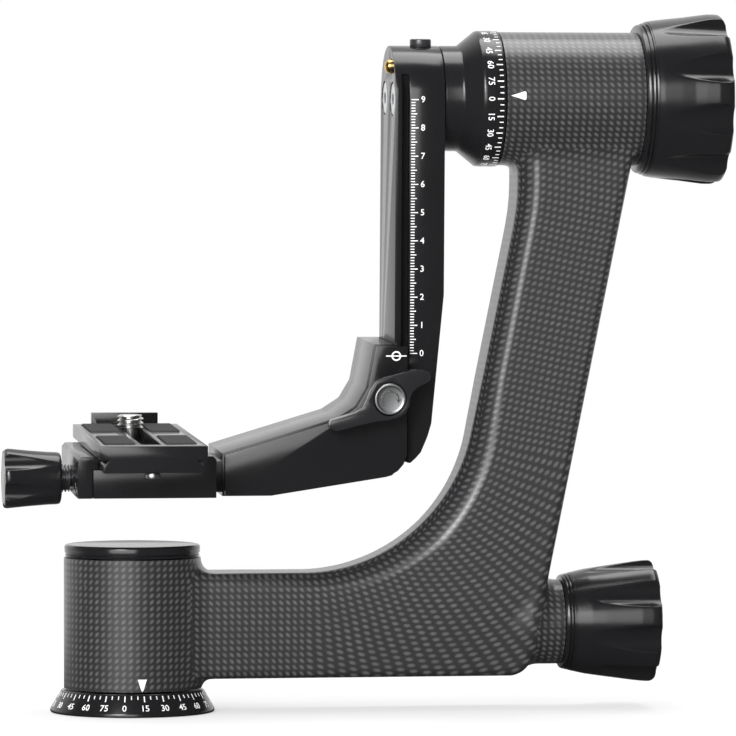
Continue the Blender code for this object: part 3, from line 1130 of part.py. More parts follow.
def main():
    clear_scene()
    pan_axis = empty("pan_axis", (0, 0, 0))
    swing_axis = empty("swing_axis", (0, 0, TILT_AXIS_HEIGHT), pan_axis)
    swing_axis.rotation_euler.x = SWING_REST_LEAN
    build_base(pan_axis)
    build_carbon_body(pan_axis)
    build_pan_bearing(pan_axis)
    build_pan_lock(pan_axis)
    build_tilt_lock(pan_axis)
    hub = build_hub(swing_axis)
    arm = build_swing_arm(swing_axis, hub)
    build_arm_details(swing_axis, arm)
    bracket, side_plate = build_bracket(swing_axis)
    build_lever(swing_axis, bracket, side_plate)
    base = build_clamp_base(swing_axis, bracket)
    build_jaw_and_knob(swing_axis, base)
    build_plate(swing_axis)


main()
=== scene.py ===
"""Side-mounted gimbal head, dressed round its fixed frame.

Sizes named in a function are in millimetres; mm() turns them into Blender's metres. The swing
group is drawn upright about the tilt axis and then leant as the frame leans.
"""
from math import atan, atan2, cos, hypot, pi, radians, sin, tau

import bmesh
import bpy
import numpy as np
from mathutils import Matrix, Vector


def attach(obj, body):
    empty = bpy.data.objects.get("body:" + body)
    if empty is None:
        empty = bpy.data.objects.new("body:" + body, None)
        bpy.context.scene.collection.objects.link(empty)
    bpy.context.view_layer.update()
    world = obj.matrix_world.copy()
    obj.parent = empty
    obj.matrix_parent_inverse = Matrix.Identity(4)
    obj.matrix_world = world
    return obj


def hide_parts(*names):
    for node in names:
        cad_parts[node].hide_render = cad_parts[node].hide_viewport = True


bl_info = {
    "name": "Gimbal Head Builder",
    "version": (1, 0, 0),
    "blender": (4, 5, 0),
    "location": "3D View > Sidebar > Gimbal Head",
    "description": "Builds the visible pieces of a side-mounted gimbal head",
    "category": "Object",
}

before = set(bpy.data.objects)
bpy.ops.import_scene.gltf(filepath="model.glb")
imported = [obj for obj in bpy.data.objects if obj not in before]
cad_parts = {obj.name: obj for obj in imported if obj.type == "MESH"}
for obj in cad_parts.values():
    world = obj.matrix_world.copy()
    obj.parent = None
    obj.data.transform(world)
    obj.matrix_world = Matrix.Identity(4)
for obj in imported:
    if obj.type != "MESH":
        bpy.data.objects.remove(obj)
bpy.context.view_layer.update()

UNIT = 0.001
TILT_HEIGHT = 218.0
LEAN = radians(2.5)
PAN_LOCK_HEIGHT = 30.5
PLATE_CENTRE = 3.0
SHARP = radians(32)
CUT_EDGE = radians(28)
MARK_PROUD = 0.06


def mm(*values):
    """Millimetres as a vector in metres."""
    return Vector(values) * UNIT


# ---- settings


def length_property(label, description, default):
    return bpy.props.FloatProperty(name=label, description=description, default=default * UNIT,
                                   unit="LENGTH", min=0.0, precision=5)


def colour_property(label, description, value):
    return bpy.props.FloatVectorProperty(name=label, description=description, default=value,
                                         subtype="COLOR", size=3, min=0.0, max=1.0)


def share_property(label, description, default):
    return bpy.props.FloatProperty(name=label, description=description, default=default,
                                   subtype="FACTOR", min=0.0, max=1.0)


class CarbonSettings(bpy.types.PropertyGroup):
    """Sizes and colours of the moulded carbon body."""
    tow_length: length_property("Tow length", "Weave pitch along the arm", 2.5)
    tow_width: length_property("Tow width", "Weave pitch across the arm", 2.3)
    resin: colour_property("Resin", "Colour between the tows", (0.017, 0.017, 0.018))
    fibre: colour_property("Fibre", "Colour of a tow's crown", (0.095, 0.096, 0.099))
    gloss: share_property("Roughness", "Roughness of the moulded skin", 0.42)


class MetalSettings(bpy.types.PropertyGroup):
    """Colours of the machined metal pieces."""
    anodised: colour_property("Anodised", "Black anodised aluminium", (0.011, 0.011, 0.012))
    anodised_roughness: share_property("Anodised roughness", "Roughness of anodised pieces", 0.16)
    steel: colour_property("Steel", "Bright steel", (0.62, 0.62, 0.61))
    dark_steel: colour_property("Dark steel", "Blackened steel", (0.075, 0.075, 0.08))
    brass: colour_property("Brass", "Polished brass", (0.72, 0.47, 0.16))


class TrimSettings(bpy.types.PropertyGroup):
    """Colours of the knobs, the pads and the white marks."""
    knob: colour_property("Knob", "Glossy black of the knobs", (0.010, 0.010, 0.011))
    knob_roughness: share_property("Knob roughness", "Roughness of the knobs", 0.17)
    rubber: colour_property("Rubber", "Rubber of the plate's pads", (0.030, 0.030, 0.031))
    paint: colour_property("Marks", "White of the scales and pointers", (0.86, 0.86, 0.86))


# ---- hand tools


def deselect():
    if bpy.context.object and bpy.context.object.mode != "OBJECT":
        bpy.ops.object.mode_set(mode="OBJECT")
    bpy.ops.object.select_all(action="DESELECT")


def pick(obj):
    deselect()
    obj.select_set(True)
    bpy.context.view_layer.objects.active = obj
    return obj


def take_name(name):
    obj = bpy.context.object
    obj.name = name
    obj.data.name = name
    return obj


def settle(obj):
    """Puts the object's place, turn and scale into its mesh."""
    pick(obj)
    bpy.ops.object.transform_apply(location=True, rotation=True, scale=True)
    return obj


def modify(obj, kind, **values):
    pick(obj)
    step = obj.modifiers.new(kind.title(), kind)
    for key, value in values.items():
        setattr(step, key, value)
    bpy.ops.object.modifier_apply(modifier=step.name)
    return obj


def edit(obj, *steps):
    """Runs mesh operators on the whole object in edit mode."""
    pick(obj)
    bpy.ops.object.mode_set(mode="EDIT")
    bpy.ops.mesh.select_all(action="SELECT")
    for operator, values in steps:
        operator(**values)
    bpy.ops.object.mode_set(mode="OBJECT")
    return obj


ALL = (bpy.ops.mesh.select_all, {"action": "SELECT"})
FACE_OUT = (bpy.ops.mesh.normals_make_consistent, {"inside": False})


def weld(distance):
    """The edit step that merges vertices nearer than a distance in metres."""
    return (bpy.ops.mesh.remove_doubles, {"threshold": distance})


def smooth(obj, angle=SHARP):
    pick(obj)
    bpy.ops.object.shade_smooth_by_angle(angle=angle)
    return obj


def draw_line(name, points, closed=False):
    """A line drawn by extruding one vertex from point to point."""
    deselect()
    spots = [mm(*point) for point in points]
    bpy.ops.mesh.primitive_plane_add(size=UNIT, location=spots[0])
    obj = settle(take_name(name))
    bpy.ops.object.mode_set(mode="EDIT")
    bpy.ops.mesh.select_all(action="SELECT")
    bpy.ops.mesh.merge(type="CENTER")
    for before, after in zip(spots, spots[1:]):
        bpy.ops.mesh.extrude_region_move(TRANSFORM_OT_translate={"value": after - before})
    bpy.ops.mesh.select_all(action="SELECT")
    if closed:
        bpy.ops.mesh.edge_face_add()
    bpy.ops.object.mode_set(mode="OBJECT")
    return obj


def along(axis, distance, first, second=0.0):
    """A point by its distance along an axis and its two other coordinates."""
    return {"X": (distance, first, second), "Y": (first, distance, second),
            "Z": (first, second, distance)}[axis]


def turned(name, profile, axis, centre=(0.0, 0.0), steps=96):
    """A solid spun from (along, radius) points that start and end on the axis."""
    points = [along(axis, a, centre[0] + r, centre[1]) for a, r in profile]
    obj = draw_line(name, points)
    turn = {"X": (1, 0, 0), "Y": (0, 1, 0), "Z": (0, 0, 1)}[axis]
    edit(obj, (bpy.ops.mesh.spin, {"steps": steps, "angle": tau, "axis": turn,
                                   "center": mm(*along(axis, 0.0, *centre))}),
         ALL, weld(2e-6), FACE_OUT)
    return smooth(obj)


def ring_turned(name, profile, axis, centre=(0.0, 0.0), steps=96):
    """A ring spun from a closed loop of (along, radius) points."""
    return turned(name, list(profile) + [profile[0]], axis, centre, steps)


def slab(name, outline, axis, low, high):
    """An outline extruded along an axis."""
    obj = draw_line(name, [along(axis, low, *point) for point in outline], closed=True)
    step = mm(*along(axis, high - low, 0.0))
    move = {"TRANSFORM_OT_translate": {"value": step}}
    return edit(obj, (bpy.ops.mesh.extrude_region_move, move), ALL, FACE_OUT)


def brick(name, low, high):
    """A box from one corner to the other."""
    deselect()
    low, high = Vector(low), Vector(high)
    bpy.ops.mesh.primitive_cube_add(size=1.0, location=(low + high) / 2 * UNIT,
                                    scale=(high - low) * UNIT)
    return settle(take_name(name))


def rod(name, axis, centre, radius, low, high, steps=64):
    """A plain round bar, used to drill or to seed a shape."""
    deselect()
    turn = {"X": (0, pi / 2, 0), "Y": (pi / 2, 0, 0), "Z": (0, 0, 0)}[axis]
    bpy.ops.mesh.primitive_cylinder_add(vertices=steps, radius=radius * UNIT,
                                        depth=(high - low) * UNIT, rotation=turn,
                                        location=mm(*along(axis, (low + high) / 2, *centre)))
    return settle(take_name(name))


def join(name, pieces):
    deselect()
    for each in pieces:
        each.select_set(True)
    bpy.context.view_layer.objects.active = pieces[0]
    if len(pieces) > 1:
        bpy.ops.object.join()
    return take_name(name)


def carve(obj, *tools, solver="MANIFOLD"):
    """Cuts the tools from a piece and clears them away."""
    for tool in tools:
        modify(obj, "BOOLEAN", object=tool, operation="DIFFERENCE", solver=solver)
        bpy.data.objects.remove(tool, do_unlink=True)
    return obj


def soften(obj, width, segments=2, angle=SHARP):
    """Rounds the sharp edges and shades the rest smooth."""
    modify(obj, "BEVEL", width=width * UNIT, segments=segments, limit_method="ANGLE",
           angle_limit=angle, use_clamp_overlap=True, harden_normals=False)
    return smooth(obj)


def lean(obj):
    """Leans an upright piece of the swing group about the tilt axis."""
    obj.rotation_euler.x = LEAN
    obj.location.z = TILT_HEIGHT * UNIT
    return settle(obj)


def from_node(node, name):
    """A merged copy of a node's mesh, to be rounded where the real edges are."""
    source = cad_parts[node]
    obj = bpy.data.objects.new(name, source.data.copy())
    bpy.context.collection.objects.link(obj)
    obj.data.name = name
    obj.data.materials.clear()
    pick(obj)
    bpy.ops.mesh.customdata_custom_splitnormals_clear()
    for layer in list(obj.data.uv_layers):
        obj.data.uv_layers.remove(layer)
    edit(obj, weld(1e-6), (bpy.ops.mesh.mark_sharp, {"clear": True}),
         (bpy.ops.mesh.dissolve_limited, {"angle_limit": radians(0.6)}), FACE_OUT)
    return obj


def finish_of(name):
    return bpy.data.materials[f"finish_{name}"]


# the slot of each finish that isn't named as its slot is
SLOT_OF = {"cap_anodised": "black_anodised", "lever_anodised": "black_anodised",
           "white_paint": "black_anodised", "button_silver": "silver", "bright_cut": "silver"}


def dress(obj, body, finish, *nodes, slot=None):
    """Gives a finished piece its finish and its body, and hides the nodes that it stands for; its
    slot is looked up and left unused.
    """
    obj.data.materials.clear()
    obj.data.materials.append(finish_of(finish))
    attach(obj, body)
    slot or SLOT_OF.get(finish, finish)
    if nodes:
        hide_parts(*nodes)
    return obj


def make_rounded(node, name, body, width, segments):
    """A machined piece: its node's shape with rounded edges."""
    piece = soften(from_node(node, name), width, segments, CUT_EDGE)
    dress(piece, body, "black_anodised", node)


def make_screw(name, axis, centre, profile, steps, socket, body, finish, node):
    """A turned screw of the swing group, with its socket as (radius, low, high)."""
    screw = turned(name, profile, axis, centre, steps)
    smooth(carve(screw, rod("socket", axis, centre, *socket, 6)))
    dress(lean(screw), body, finish, node)


# ---- shapes from distance fields


def read_all(things, key, width=1, kind=np.float64):
    """One value, or row of values, of every vertex, corner or face."""
    flat = np.empty(len(things) * width, dtype=kind)
    things.foreach_get(key, flat)
    return flat.reshape(-1, width) if width > 1 else flat


def shape_to(obj, field, rounds=7, step=0.9):
    """Moves every vertex onto the surface where a distance field, in millimetres, is zero."""
    points = read_all(obj.data.vertices, "co", 3) / UNIT
    probe = 0.02
    for _ in range(rounds):
        value = field(points)
        slope = np.empty_like(points)
        for axis in range(3):
            ahead, behind = points.copy(), points.copy()
            ahead[:, axis] += probe
            behind[:, axis] -= probe
            slope[:, axis] = (field(ahead) - field(behind)) / (2 * probe)
        size = np.maximum((slope ** 2).sum(1), 0.05)
        move = -(value / size)[:, None] * slope
        reach = np.linalg.norm(move, axis=1, keepdims=True)
        points += move * np.minimum(1.0, step / np.maximum(reach, 1e-9))
    obj.data.vertices.foreach_set("co", (points * UNIT).ravel())
    obj.data.update()
    return obj


def grow(name, seeds, field, grid):
    """Joins rough seeds, remeshes them as one skin and draws the skin onto a distance field."""
    obj = join(name, seeds)
    modify(obj, "REMESH", mode="VOXEL", voxel_size=grid * UNIT)
    shape_to(obj, field, rounds=4)
    modify(obj, "SMOOTH", factor=0.5, iterations=4)
    shape_to(obj, field)
    return obj


def blend_union(first, second, width):
    """The union of two distance fields with a soft fillet."""
    spread = np.maximum(width - np.abs(first - second), 0.0) / width
    return np.minimum(first, second) - spread * spread * width * 0.25


def blend_cut(first, second, width):
    return -blend_union(-first, second, width)


def corner(first, second, first_width, second_width, power=2.0):
    """Depth inside two faces that meet in a rounded corner; negative outside."""
    p = np.clip(1.0 - first / first_width, 0.0, None)
    q = np.clip(1.0 - second / second_width, 0.0, None)
    radius = np.maximum((p ** power + q ** power) ** (1.0 / power), 1e-6)
    slope_p = (p / radius) ** (power - 1.0) / first_width
    slope_q = (q / radius) ** (power - 1.0) / second_width
    rounded = (1.0 - radius) / np.maximum(np.hypot(slope_p, slope_q), 1e-6)
    in_corner = (p > 0) & (q > 0)
    return np.where(in_corner, rounded, np.minimum(first, second))


# ---- carbon body

ARM_DEPTH = 16.0
ARM_FLOOR, ARM_CEILING = 12.1, 49.5
BEND_X, BEND_RADIUS = 60.8, 61.0
ARM_SLOPE, OUTER_X = 0.2034, 138.1
SLOPE_ANGLE = atan(ARM_SLOPE)
COLUMN_RADIUS, COLUMN_LOW, COLUMN_HIGH = 24.3, 8.6, 54.9
TUBE_RADIUS, TUBE_LEFT, TUBE_RIGHT = 23.8, 131.2, 181.2
BOSS_RADIUS, BOSS_START, BOSS_END = 15.1, 126.0, 153.7
BORE_RADIUS, BUSH_RADIUS, ROD_RADIUS = 20.3, 11.8, 3.7
BODY_GRID = 0.95
SPARE, TRIM = 2.0, 9.0
FLANK_FACING = 0.55

# the round parts of the body: axis, centre, radius, and a start and end that are trimmed later
BODY_BARS = {
    "column_seed": ("Z", (0, 0), COLUMN_RADIUS, COLUMN_LOW - SPARE, COLUMN_HIGH + SPARE),
    "tube_seed": ("X", (0, TILT_HEIGHT), TUBE_RADIUS, TUBE_LEFT - SPARE, TUBE_RIGHT + SPARE),
    "boss_seed": ("X", (0, PAN_LOCK_HEIGHT), BOSS_RADIUS, BOSS_START, BOSS_END + SPARE),
}

# the inner edge leaves its straight line below the tube: heights, and how far left it stands
THROAT_Z = (168.0, 173.0, 178.0, 183.0, 188.0, 194.0, 200.0, 206.0, 214.0)
THROAT_LEFT = (0.0, 0.05, 0.25, 0.75, 1.6, 2.8, 4.1, 5.5, 7.3)


def arm_route(x, z):
    """Depth inside the arm's inner edge, and the distance run along that edge."""
    dx, dz = x - BEND_X, z - (ARM_CEILING + BEND_RADIUS)
    reach = np.hypot(dx, dz)
    angle = np.arctan2(dz, dx)
    flat = dx < 0
    above = (angle > -SLOPE_ANGLE) & ~flat
    straight = dx * cos(SLOPE_ANGLE) - dz * sin(SLOPE_ANGLE)
    straight = straight + np.interp(z, THROAT_Z, THROAT_LEFT)
    depth = np.where(flat, -dz, np.where(above, straight, reach)) - BEND_RADIUS
    turn = BEND_RADIUS * (pi / 2 - SLOPE_ANGLE)
    rise = dx * sin(SLOPE_ANGLE) + dz * cos(SLOPE_ANGLE)
    run = np.where(flat, x, np.where(above, BEND_X + turn + rise,
                                     BEND_X + BEND_RADIUS * (angle + pi / 2)))
    return depth, run


def arm_field(points):
    x, y, z = points.T
    inner, run = arm_route(x, z)
    outer_line = (OUTER_X + ARM_SLOPE * z - x) * cos(SLOPE_ANGLE)
    low = np.clip((44.0 - z) / 32.0, 0.0, 1.0)
    side = ARM_DEPTH - 1.5 * low * low - np.abs(y)
    edge = np.interp(run, (30.0, 60.0, 108.0, 142.0, 165.0), (4.2, 5.6, 9.6, 8.0, 6.6))
    outer = corner(z - ARM_FLOOR, outer_line, 6.5, 6.5)
    inside = np.minimum(corner(inner, side, edge, edge * 1.1, 1.55), corner(outer, side, 2.8, 2.8))
    return -inside


def bar_field(points, axis, centre, radius, low, high):
    """A round bar's distance field."""
    others = [index for index in range(3) if index != axis]
    off = np.hypot(points[:, others[0]] - centre[0], points[:, others[1]] - centre[1])
    ends = np.maximum(low - points[:, axis], points[:, axis] - high)
    return np.maximum(off - radius, ends)


def body_field(points):
    arm = arm_field(points)
    arm = np.maximum(arm, points[:, 2] - TILT_HEIGHT)
    arm = np.maximum(arm, -points[:, 0])
    column, tube, boss = (bar_field(points, "XYZ".index(axis), *sizes)
                          for axis, *sizes in BODY_BARS.values())
    boss_fillet = 0.05 + 5.0 * np.clip((points[:, 0] - 132.0) / 10.0, 0.0, 1.0)
    whole = blend_union(arm, column, 6.0)
    whole = blend_union(whole, tube, 4.0)
    return blend_union(whole, boss, boss_fillet)


def arm_seed():
    """The arm from the front, as a plain slab that the field then rounds."""
    inner = [(0.0, ARM_CEILING), (BEND_X, ARM_CEILING)]
    for index in range(1, 9):
        angle = -pi / 2 + (pi / 2 - SLOPE_ANGLE) * index / 8
        inner.append((BEND_X + BEND_RADIUS * cos(angle),
                      ARM_CEILING + BEND_RADIUS * (1 + sin(angle))))
    last_x, last_z = inner[-1]
    top = TILT_HEIGHT - 2
    inner.append((last_x + ARM_SLOPE * (top - last_z), top))
    outer = [(OUTER_X + ARM_SLOPE * top, top), (OUTER_X + ARM_SLOPE * ARM_FLOOR, ARM_FLOOR),
             (0.0, ARM_FLOOR)]
    return slab("arm_seed", inner + outer, "Y", -ARM_DEPTH, ARM_DEPTH)


def weave_map(obj):
    """Unrolls the weave: round the column, the tube and the boss, and along the arm."""
    mesh = obj.data
    corners = read_all(mesh.loops, "vertex_index", kind=np.int64)
    points = read_all(mesh.vertices, "co", 3) / UNIT
    starts, sizes = (read_all(mesh.polygons, key, kind=np.int64)
                     for key in ("loop_start", "loop_total"))
    middle = read_all(mesh.polygons, "center", 3) / UNIT
    facing = read_all(mesh.polygons, "normal", 3)
    arm = np.abs(arm_field(middle))
    others = [np.abs(bar_field(middle, 2, (0, 0), COLUMN_RADIUS, -99, 99)),
              np.abs(bar_field(middle, 0, (0, TILT_HEIGHT), TUBE_RADIUS, 0, 999)),
              np.abs(bar_field(middle, 0, (0, PAN_LOCK_HEIGHT), BOSS_RADIUS, 140, 999))]
    region = np.argmin(np.stack([arm, *others]), axis=0)
    flank = (region == 0) & (np.abs(facing[:, 1]) < FLANK_FACING)
    kind = np.repeat(np.where(flank, 4, region), sizes)
    order = np.concatenate([np.arange(a, a + n) for a, n in zip(starts, sizes)])
    spot = points[corners[order]]
    x, y, z = spot.T
    depth, run = arm_route(x, z)
    maps = [np.stack([run, depth], 1),
            np.stack([np.arctan2(y, x) * COLUMN_RADIUS, z], 1),
            np.stack([x, np.arctan2(z - TILT_HEIGHT, y + 1e-9) * TUBE_RADIUS], 1),
            np.stack([x, np.arctan2(z - PAN_LOCK_HEIGHT, y + 1e-9) * BOSS_RADIUS], 1),
            np.stack([run, y], 1)]
    uv = np.zeros((len(corners), 2))
    for index, layout in enumerate(maps):
        chosen = kind == index
        uv[order[chosen]] = layout[chosen]
    layer = mesh.uv_layers.new(name="weave")
    layer.data.foreach_set("uv", (uv * UNIT).astype(np.float32).ravel())


def make_body():
    seeds = [arm_seed(), *(rod(name, *sizes) for name, sizes in BODY_BARS.items())]
    body = grow("carbon_shell", seeds, body_field, BODY_GRID)
    tilt, lock = (0, TILT_HEIGHT), (0, PAN_LOCK_HEIGHT)
    carve(body,
          rod("trim", "Z", (0, 0), 36, COLUMN_LOW - TRIM, COLUMN_LOW, 96),
          rod("trim", "Z", (0, 0), 26.5, COLUMN_HIGH, COLUMN_HIGH + TRIM, 96),
          rod("trim", "X", tilt, 34, TUBE_LEFT - TRIM, TUBE_LEFT, 96),
          rod("trim", "X", tilt, 34, TUBE_RIGHT, TUBE_RIGHT + TRIM, 96),
          rod("trim", "X", lock, 24, BOSS_END, BOSS_END + TRIM, 96),
          rod("bore", "Z", (0, 0), BORE_RADIUS, 0, 70, 96),
          rod("bore", "X", tilt, BORE_RADIUS, TUBE_LEFT - 4, TUBE_RIGHT + 4, 96),
          rod("bore", "X", lock, BUSH_RADIUS, 138.4, BOSS_END + 4, 64),
          rod("bore", "X", lock, ROD_RADIUS, 15, 145, 24))
    weave_map(body)
    smooth(body, radians(50))
    return dress(body, "yoke", "carbon", "carbon_body")


def pointer(name, points, place):
    """A thin painted wedge, drawn flat and laid on a round surface by place()."""
    mark = slab(name, points, "Z", -0.05, MARK_PROUD)
    edit(mark, (bpy.ops.mesh.subdivide, {"number_cuts": 2}))
    return lay_on(mark, place)


def lay_on(obj, place):
    """Moves a flat drawing (across, up, out) onto a surface given by place(across, up, out)."""
    for vertex in obj.data.vertices:
        across, up, out = vertex.co / UNIT
        vertex.co = Vector(place(across, up, out)) * UNIT
    return edit(obj, FACE_OUT)


def label(text, size, across=0.0, up=0.0, turn=0.0, wide=1.0):
    """A number as a thin flat mesh."""
    deselect()
    bpy.ops.object.text_add(location=(0, 0, 0))
    obj = bpy.context.object
    obj.data.body = text
    obj.data.size = size * UNIT
    obj.data.extrude = MARK_PROUD * UNIT
    obj.data.align_x = "CENTER"
    obj.data.align_y = "CENTER"
    obj.data.resolution_u = 3
    obj.data.offset = 0.00002
    bpy.ops.object.convert(target="MESH")
    obj = bpy.context.object
    obj.scale.x = wide
    settle(obj)
    obj.rotation_euler.z = turn
    obj.location = mm(across, up, 0)
    settle(obj)
    return edit(obj, weld(2e-6))


def dash(across, up, width, height):
    """One plain mark of a scale."""
    return brick("dash", (across - width / 2, up - height / 2, -MARK_PROUD),
                 (across + width / 2, up + height / 2, MARK_PROUD))


def dial(name, short, draw_dash, draw_number, place):
    """A ring of marks each 5 degrees and a number each 15, laid on a surface by place()."""
    marks = []
    for step in range(72):
        angle = radians(step * 5)
        is_long = step % 3 == 0
        marks.append(draw_dash(angle, 2.3 if is_long else short, 0.42 if is_long else 0.34))
        if is_long:
            marks.append(draw_number(angle, step // 3))
    return lay_on(join(name, marks), place)


# ---- base

RING_FOOT, RING_TOP = (29.2, 1.2), (25.5, 7.5)
DIAL_NUMBERS = (0, 15, 30, 45, 60, 75)
DIAL_ZERO = radians(-101.6)
DIAL_RADIUS = 27.5
HUB_RADIUS = 24.2


def ring_place(across, up, out):
    """A point on the degree ring's cone: across runs round it, up runs along its slope."""
    slope = Vector((RING_TOP[0] - RING_FOOT[0], RING_TOP[1] - RING_FOOT[1]))
    length = slope.length
    share = up / length
    radius = RING_FOOT[0] + slope.x * share + out * slope.y / length
    height = RING_FOOT[1] + slope.y * share - out * slope.x / length
    angle = DIAL_ZERO + across / DIAL_RADIUS
    return (radius * cos(angle), radius * sin(angle), height)


def make_base():
    profile = [(0.0, 23.8), (0.0, 28.5), (0.12, 28.95), (0.45, 29.2), (1.0, 29.2), (1.4, 29.08),
               (7.3, 25.62), (7.75, 25.4), (8.0, 25.0), (8.0, 17.0), (4.0, 17.0), (4.0, 23.8)]
    ring = ring_turned("degree_ring", profile, "Z", steps=144)
    dress(ring, "base", "black_anodised", "base_ring")

    def draw_dash(angle, length, width):
        return dash(DIAL_RADIUS * angle, 7.1 - length / 2, width, length)

    def draw_number(angle, index):
        return label(str(DIAL_NUMBERS[index % 6]), 3.3, DIAL_RADIUS * angle, 2.25, wide=0.95)
    scale = dial("degree_ring_marks", 1.35, draw_dash, draw_number, ring_place)
    dress(scale, "base", "white_paint")


def make_cap():
    profile = [(51.9, 0.0), (51.9, 20.0), (55.2, 20.0), (55.2, 23.5), (55.35, 23.8), (56.1, 23.9),
               (56.25, 23.5), (56.5, 23.5), (56.65, 24.0), (58.7, 24.15), (59.1, 24.0),
               (59.5, 23.5), (59.6, 23.0), (59.6, 22.6), (59.52, 22.4), (59.52, 0.0)]
    cap = turned("column_cap", profile, "Z", steps=128)
    dress(cap, "yoke", "cap_anodised", "base_cap")


def column_place(across, up, out):
    angle = radians(-90 + 2.4) + across / COLUMN_RADIUS
    radius = COLUMN_RADIUS + out
    return (radius * cos(angle), radius * sin(angle), up)


def tube_place(across, up, out):
    radius = TUBE_RADIUS + out
    angle = radians(1.5) + up / TUBE_RADIUS
    return (across, -radius * cos(angle), TILT_HEIGHT + radius * sin(angle))


def make_pointers():
    down = [(-1.65, 13.1), (1.65, 13.1), (1.3, 12.2), (0.45, 9.4), (0.0, 8.75), (-0.45, 9.4),
            (-1.3, 12.2)]
    dress(pointer("pan_pointer", down, column_place), "yoke", "white_paint", slot="carbon")
    left = [(132.4, 0.0), (137.4, 1.55), (137.9, 1.2), (137.9, -1.2), (137.4, -1.55)]
    dress(pointer("tilt_pointer", left, tube_place), "yoke", "white_paint", slot="carbon")


# ---- knobs


STEM_ROOM = 5.3
GRIP_EDGE = radians(40)
FLUTE_EDGE = 0.32
END_SPARE = 1.5


def knob_field(profile, centre, flutes, phase, flute_radius, tip, depth):
    """The distance field of a flared knob with leaning scoops cut round it."""
    stations, radii = np.array(profile).T
    mouth = stations[-1]
    tip_radius = np.interp(tip, stations, radii)
    mouth_radius = radii.max() - depth

    def field(points):
        x, y, z = points[:, 0], points[:, 1] - centre[0], points[:, 2] - centre[1]
        off = np.hypot(y, z)
        skin = off - np.interp(x, stations, radii)
        lines = tip_radius + (mouth_radius - tip_radius) * (x - tip) / (mouth - tip)
        lines = lines + flute_radius
        turn = np.arctan2(-z, -y) - phase
        nearest = phase + np.round(turn * flutes / tau) * tau / flutes
        gap = np.hypot(-y - lines * np.cos(nearest), -z - lines * np.sin(nearest)) - flute_radius
        return blend_cut(skin, gap, FLUTE_EDGE)
    return field


def make_knob(name, profile, centre, flutes, phase, flute_radius, tip, depth, grid, mirror=False):
    """A knob's grip: remeshed from a turned seed and drawn onto its field, with flat ends."""
    sign = -1.0 if mirror else 1.0
    field = knob_field(profile, centre, flutes, phase, flute_radius, tip, depth)
    low, high = profile[0][0], profile[-1][0]
    start, end = low - END_SPARE, high + END_SPARE
    ends = [(start, 0.0), (start, profile[0][1]), *profile, (end, profile[-1][1]), (end, 0.0)]
    seed = turned("seed", [(sign * a, r) for a, r in ends], "X", centre, 72)

    def capped(points):
        points = points * np.array([sign, 1.0, 1.0])
        over = np.maximum(start - points[:, 0], points[:, 0] - end)
        return np.maximum(field(points), over)
    knob = grow(name, [seed], capped, grid)
    reach = max(r for _, r in profile) + 4
    for ends in ((low - 6, low), (high, high + 6)):
        carve(knob, rod("trim", "X", centre, reach, *sorted(sign * spot for spot in ends), 96))
    return knob


def make_lock_knob(name, centre, profile, collar, bore_end, steps, *flutes):
    """A fluted grip with its bore for the stem, and the turned collar at its neck."""
    grip = make_knob(f"{name}_grip", profile, centre, *flutes)
    carve(grip, rod("bore", "X", centre, STEM_ROOM, profile[0][0] - 5, bore_end, 32))
    smooth(grip, GRIP_EDGE)
    dress(grip, name, "black_knob", name)
    nose = ring_turned(f"{name}_collar", collar, "X", centre, steps)
    dress(nose, name, "black_knob")


def make_tilt_knob():
    profile = [(185.2, 27.75), (187.0, 28.1), (193.5, 28.9), (198.0, 29.4), (202.0, 30.0),
               (206.7, 30.65), (209.6, 30.7), (210.9, 30.45), (211.8, 29.75), (212.2, 28.6)]
    collar = [(181.5, 5.3), (181.5, 26.0), (181.7, 26.4), (182.1, 26.6), (182.6, 26.7),
              (182.75, 26.2), (183.2, 26.2), (183.35, 27.0), (183.9, 27.2), (184.05, 26.7),
              (184.5, 26.7), (184.65, 27.45), (185.1, 27.6), (185.1, 5.3)]
    make_lock_knob("tilt_knob", (0.0, TILT_HEIGHT), profile, collar, 201.8, 128,
                   10, radians(15), 7.0, 188.6, 3.7, 0.5)


def make_pan_knob():
    profile = [(157.4, 17.55), (163.0, 18.8), (168.0, 19.55), (172.0, 20.1), (180.6, 21.3),
               (184.6, 21.72), (186.4, 21.75), (187.2, 21.45), (187.8, 20.8), (188.0, 19.9)]
    collar = [(154.0, 5.3), (154.0, 16.2), (154.15, 16.6), (154.6, 16.85), (155.1, 16.95),
              (155.25, 16.5), (155.6, 16.5), (155.75, 17.15), (156.2, 17.25), (156.35, 16.8),
              (156.7, 16.8), (156.85, 17.35), (157.3, 17.45), (157.3, 5.3)]
    make_lock_knob("pan_knob", (0.0, PAN_LOCK_HEIGHT), profile, collar, 174.3, 112,
                   8, radians(14.5), 6.2, 162.6, 3.3, 0.45)


def make_clamp_knob():
    centre = (0.0, -135.3)
    profile = [(25.1, 8.3), (25.4, 9.0), (26.3, 9.3), (30.0, 9.5), (36.0, 10.1), (42.0, 10.85),
               (43.9, 11.05), (44.8, 10.85), (45.25, 10.3), (45.4, 9.4)]
    knob = make_knob("clamp_knob_grip", profile, centre, 6, radians(22), 4.2, 28.0, 2.3, 0.35,
                     mirror=True)
    smooth(knob, GRIP_EDGE)
    lean(knob)
    dress(knob, "clamp_knob", "black_knob", "clamp_knob")
    screw = [(-24.8, 0.0), (-24.8, 5.0), (-24.3, 5.0), (-24.1, 4.3), (-23.7, 4.3), (-23.5, 4.9),
             (-23.1, 4.9), (-22.9, 4.2), (-22.5, 4.2), (-22.3, 4.8), (-22.0, 4.8), (-22.0, 3.0),
             (12.0, 3.0), (12.0, 0.0)]
    neck = lean(turned("clamp_screw_turned", screw, "X", centre, 48))
    dress(neck, "clamp_knob", "dark_steel", "clamp_screw")


# ---- swing arm


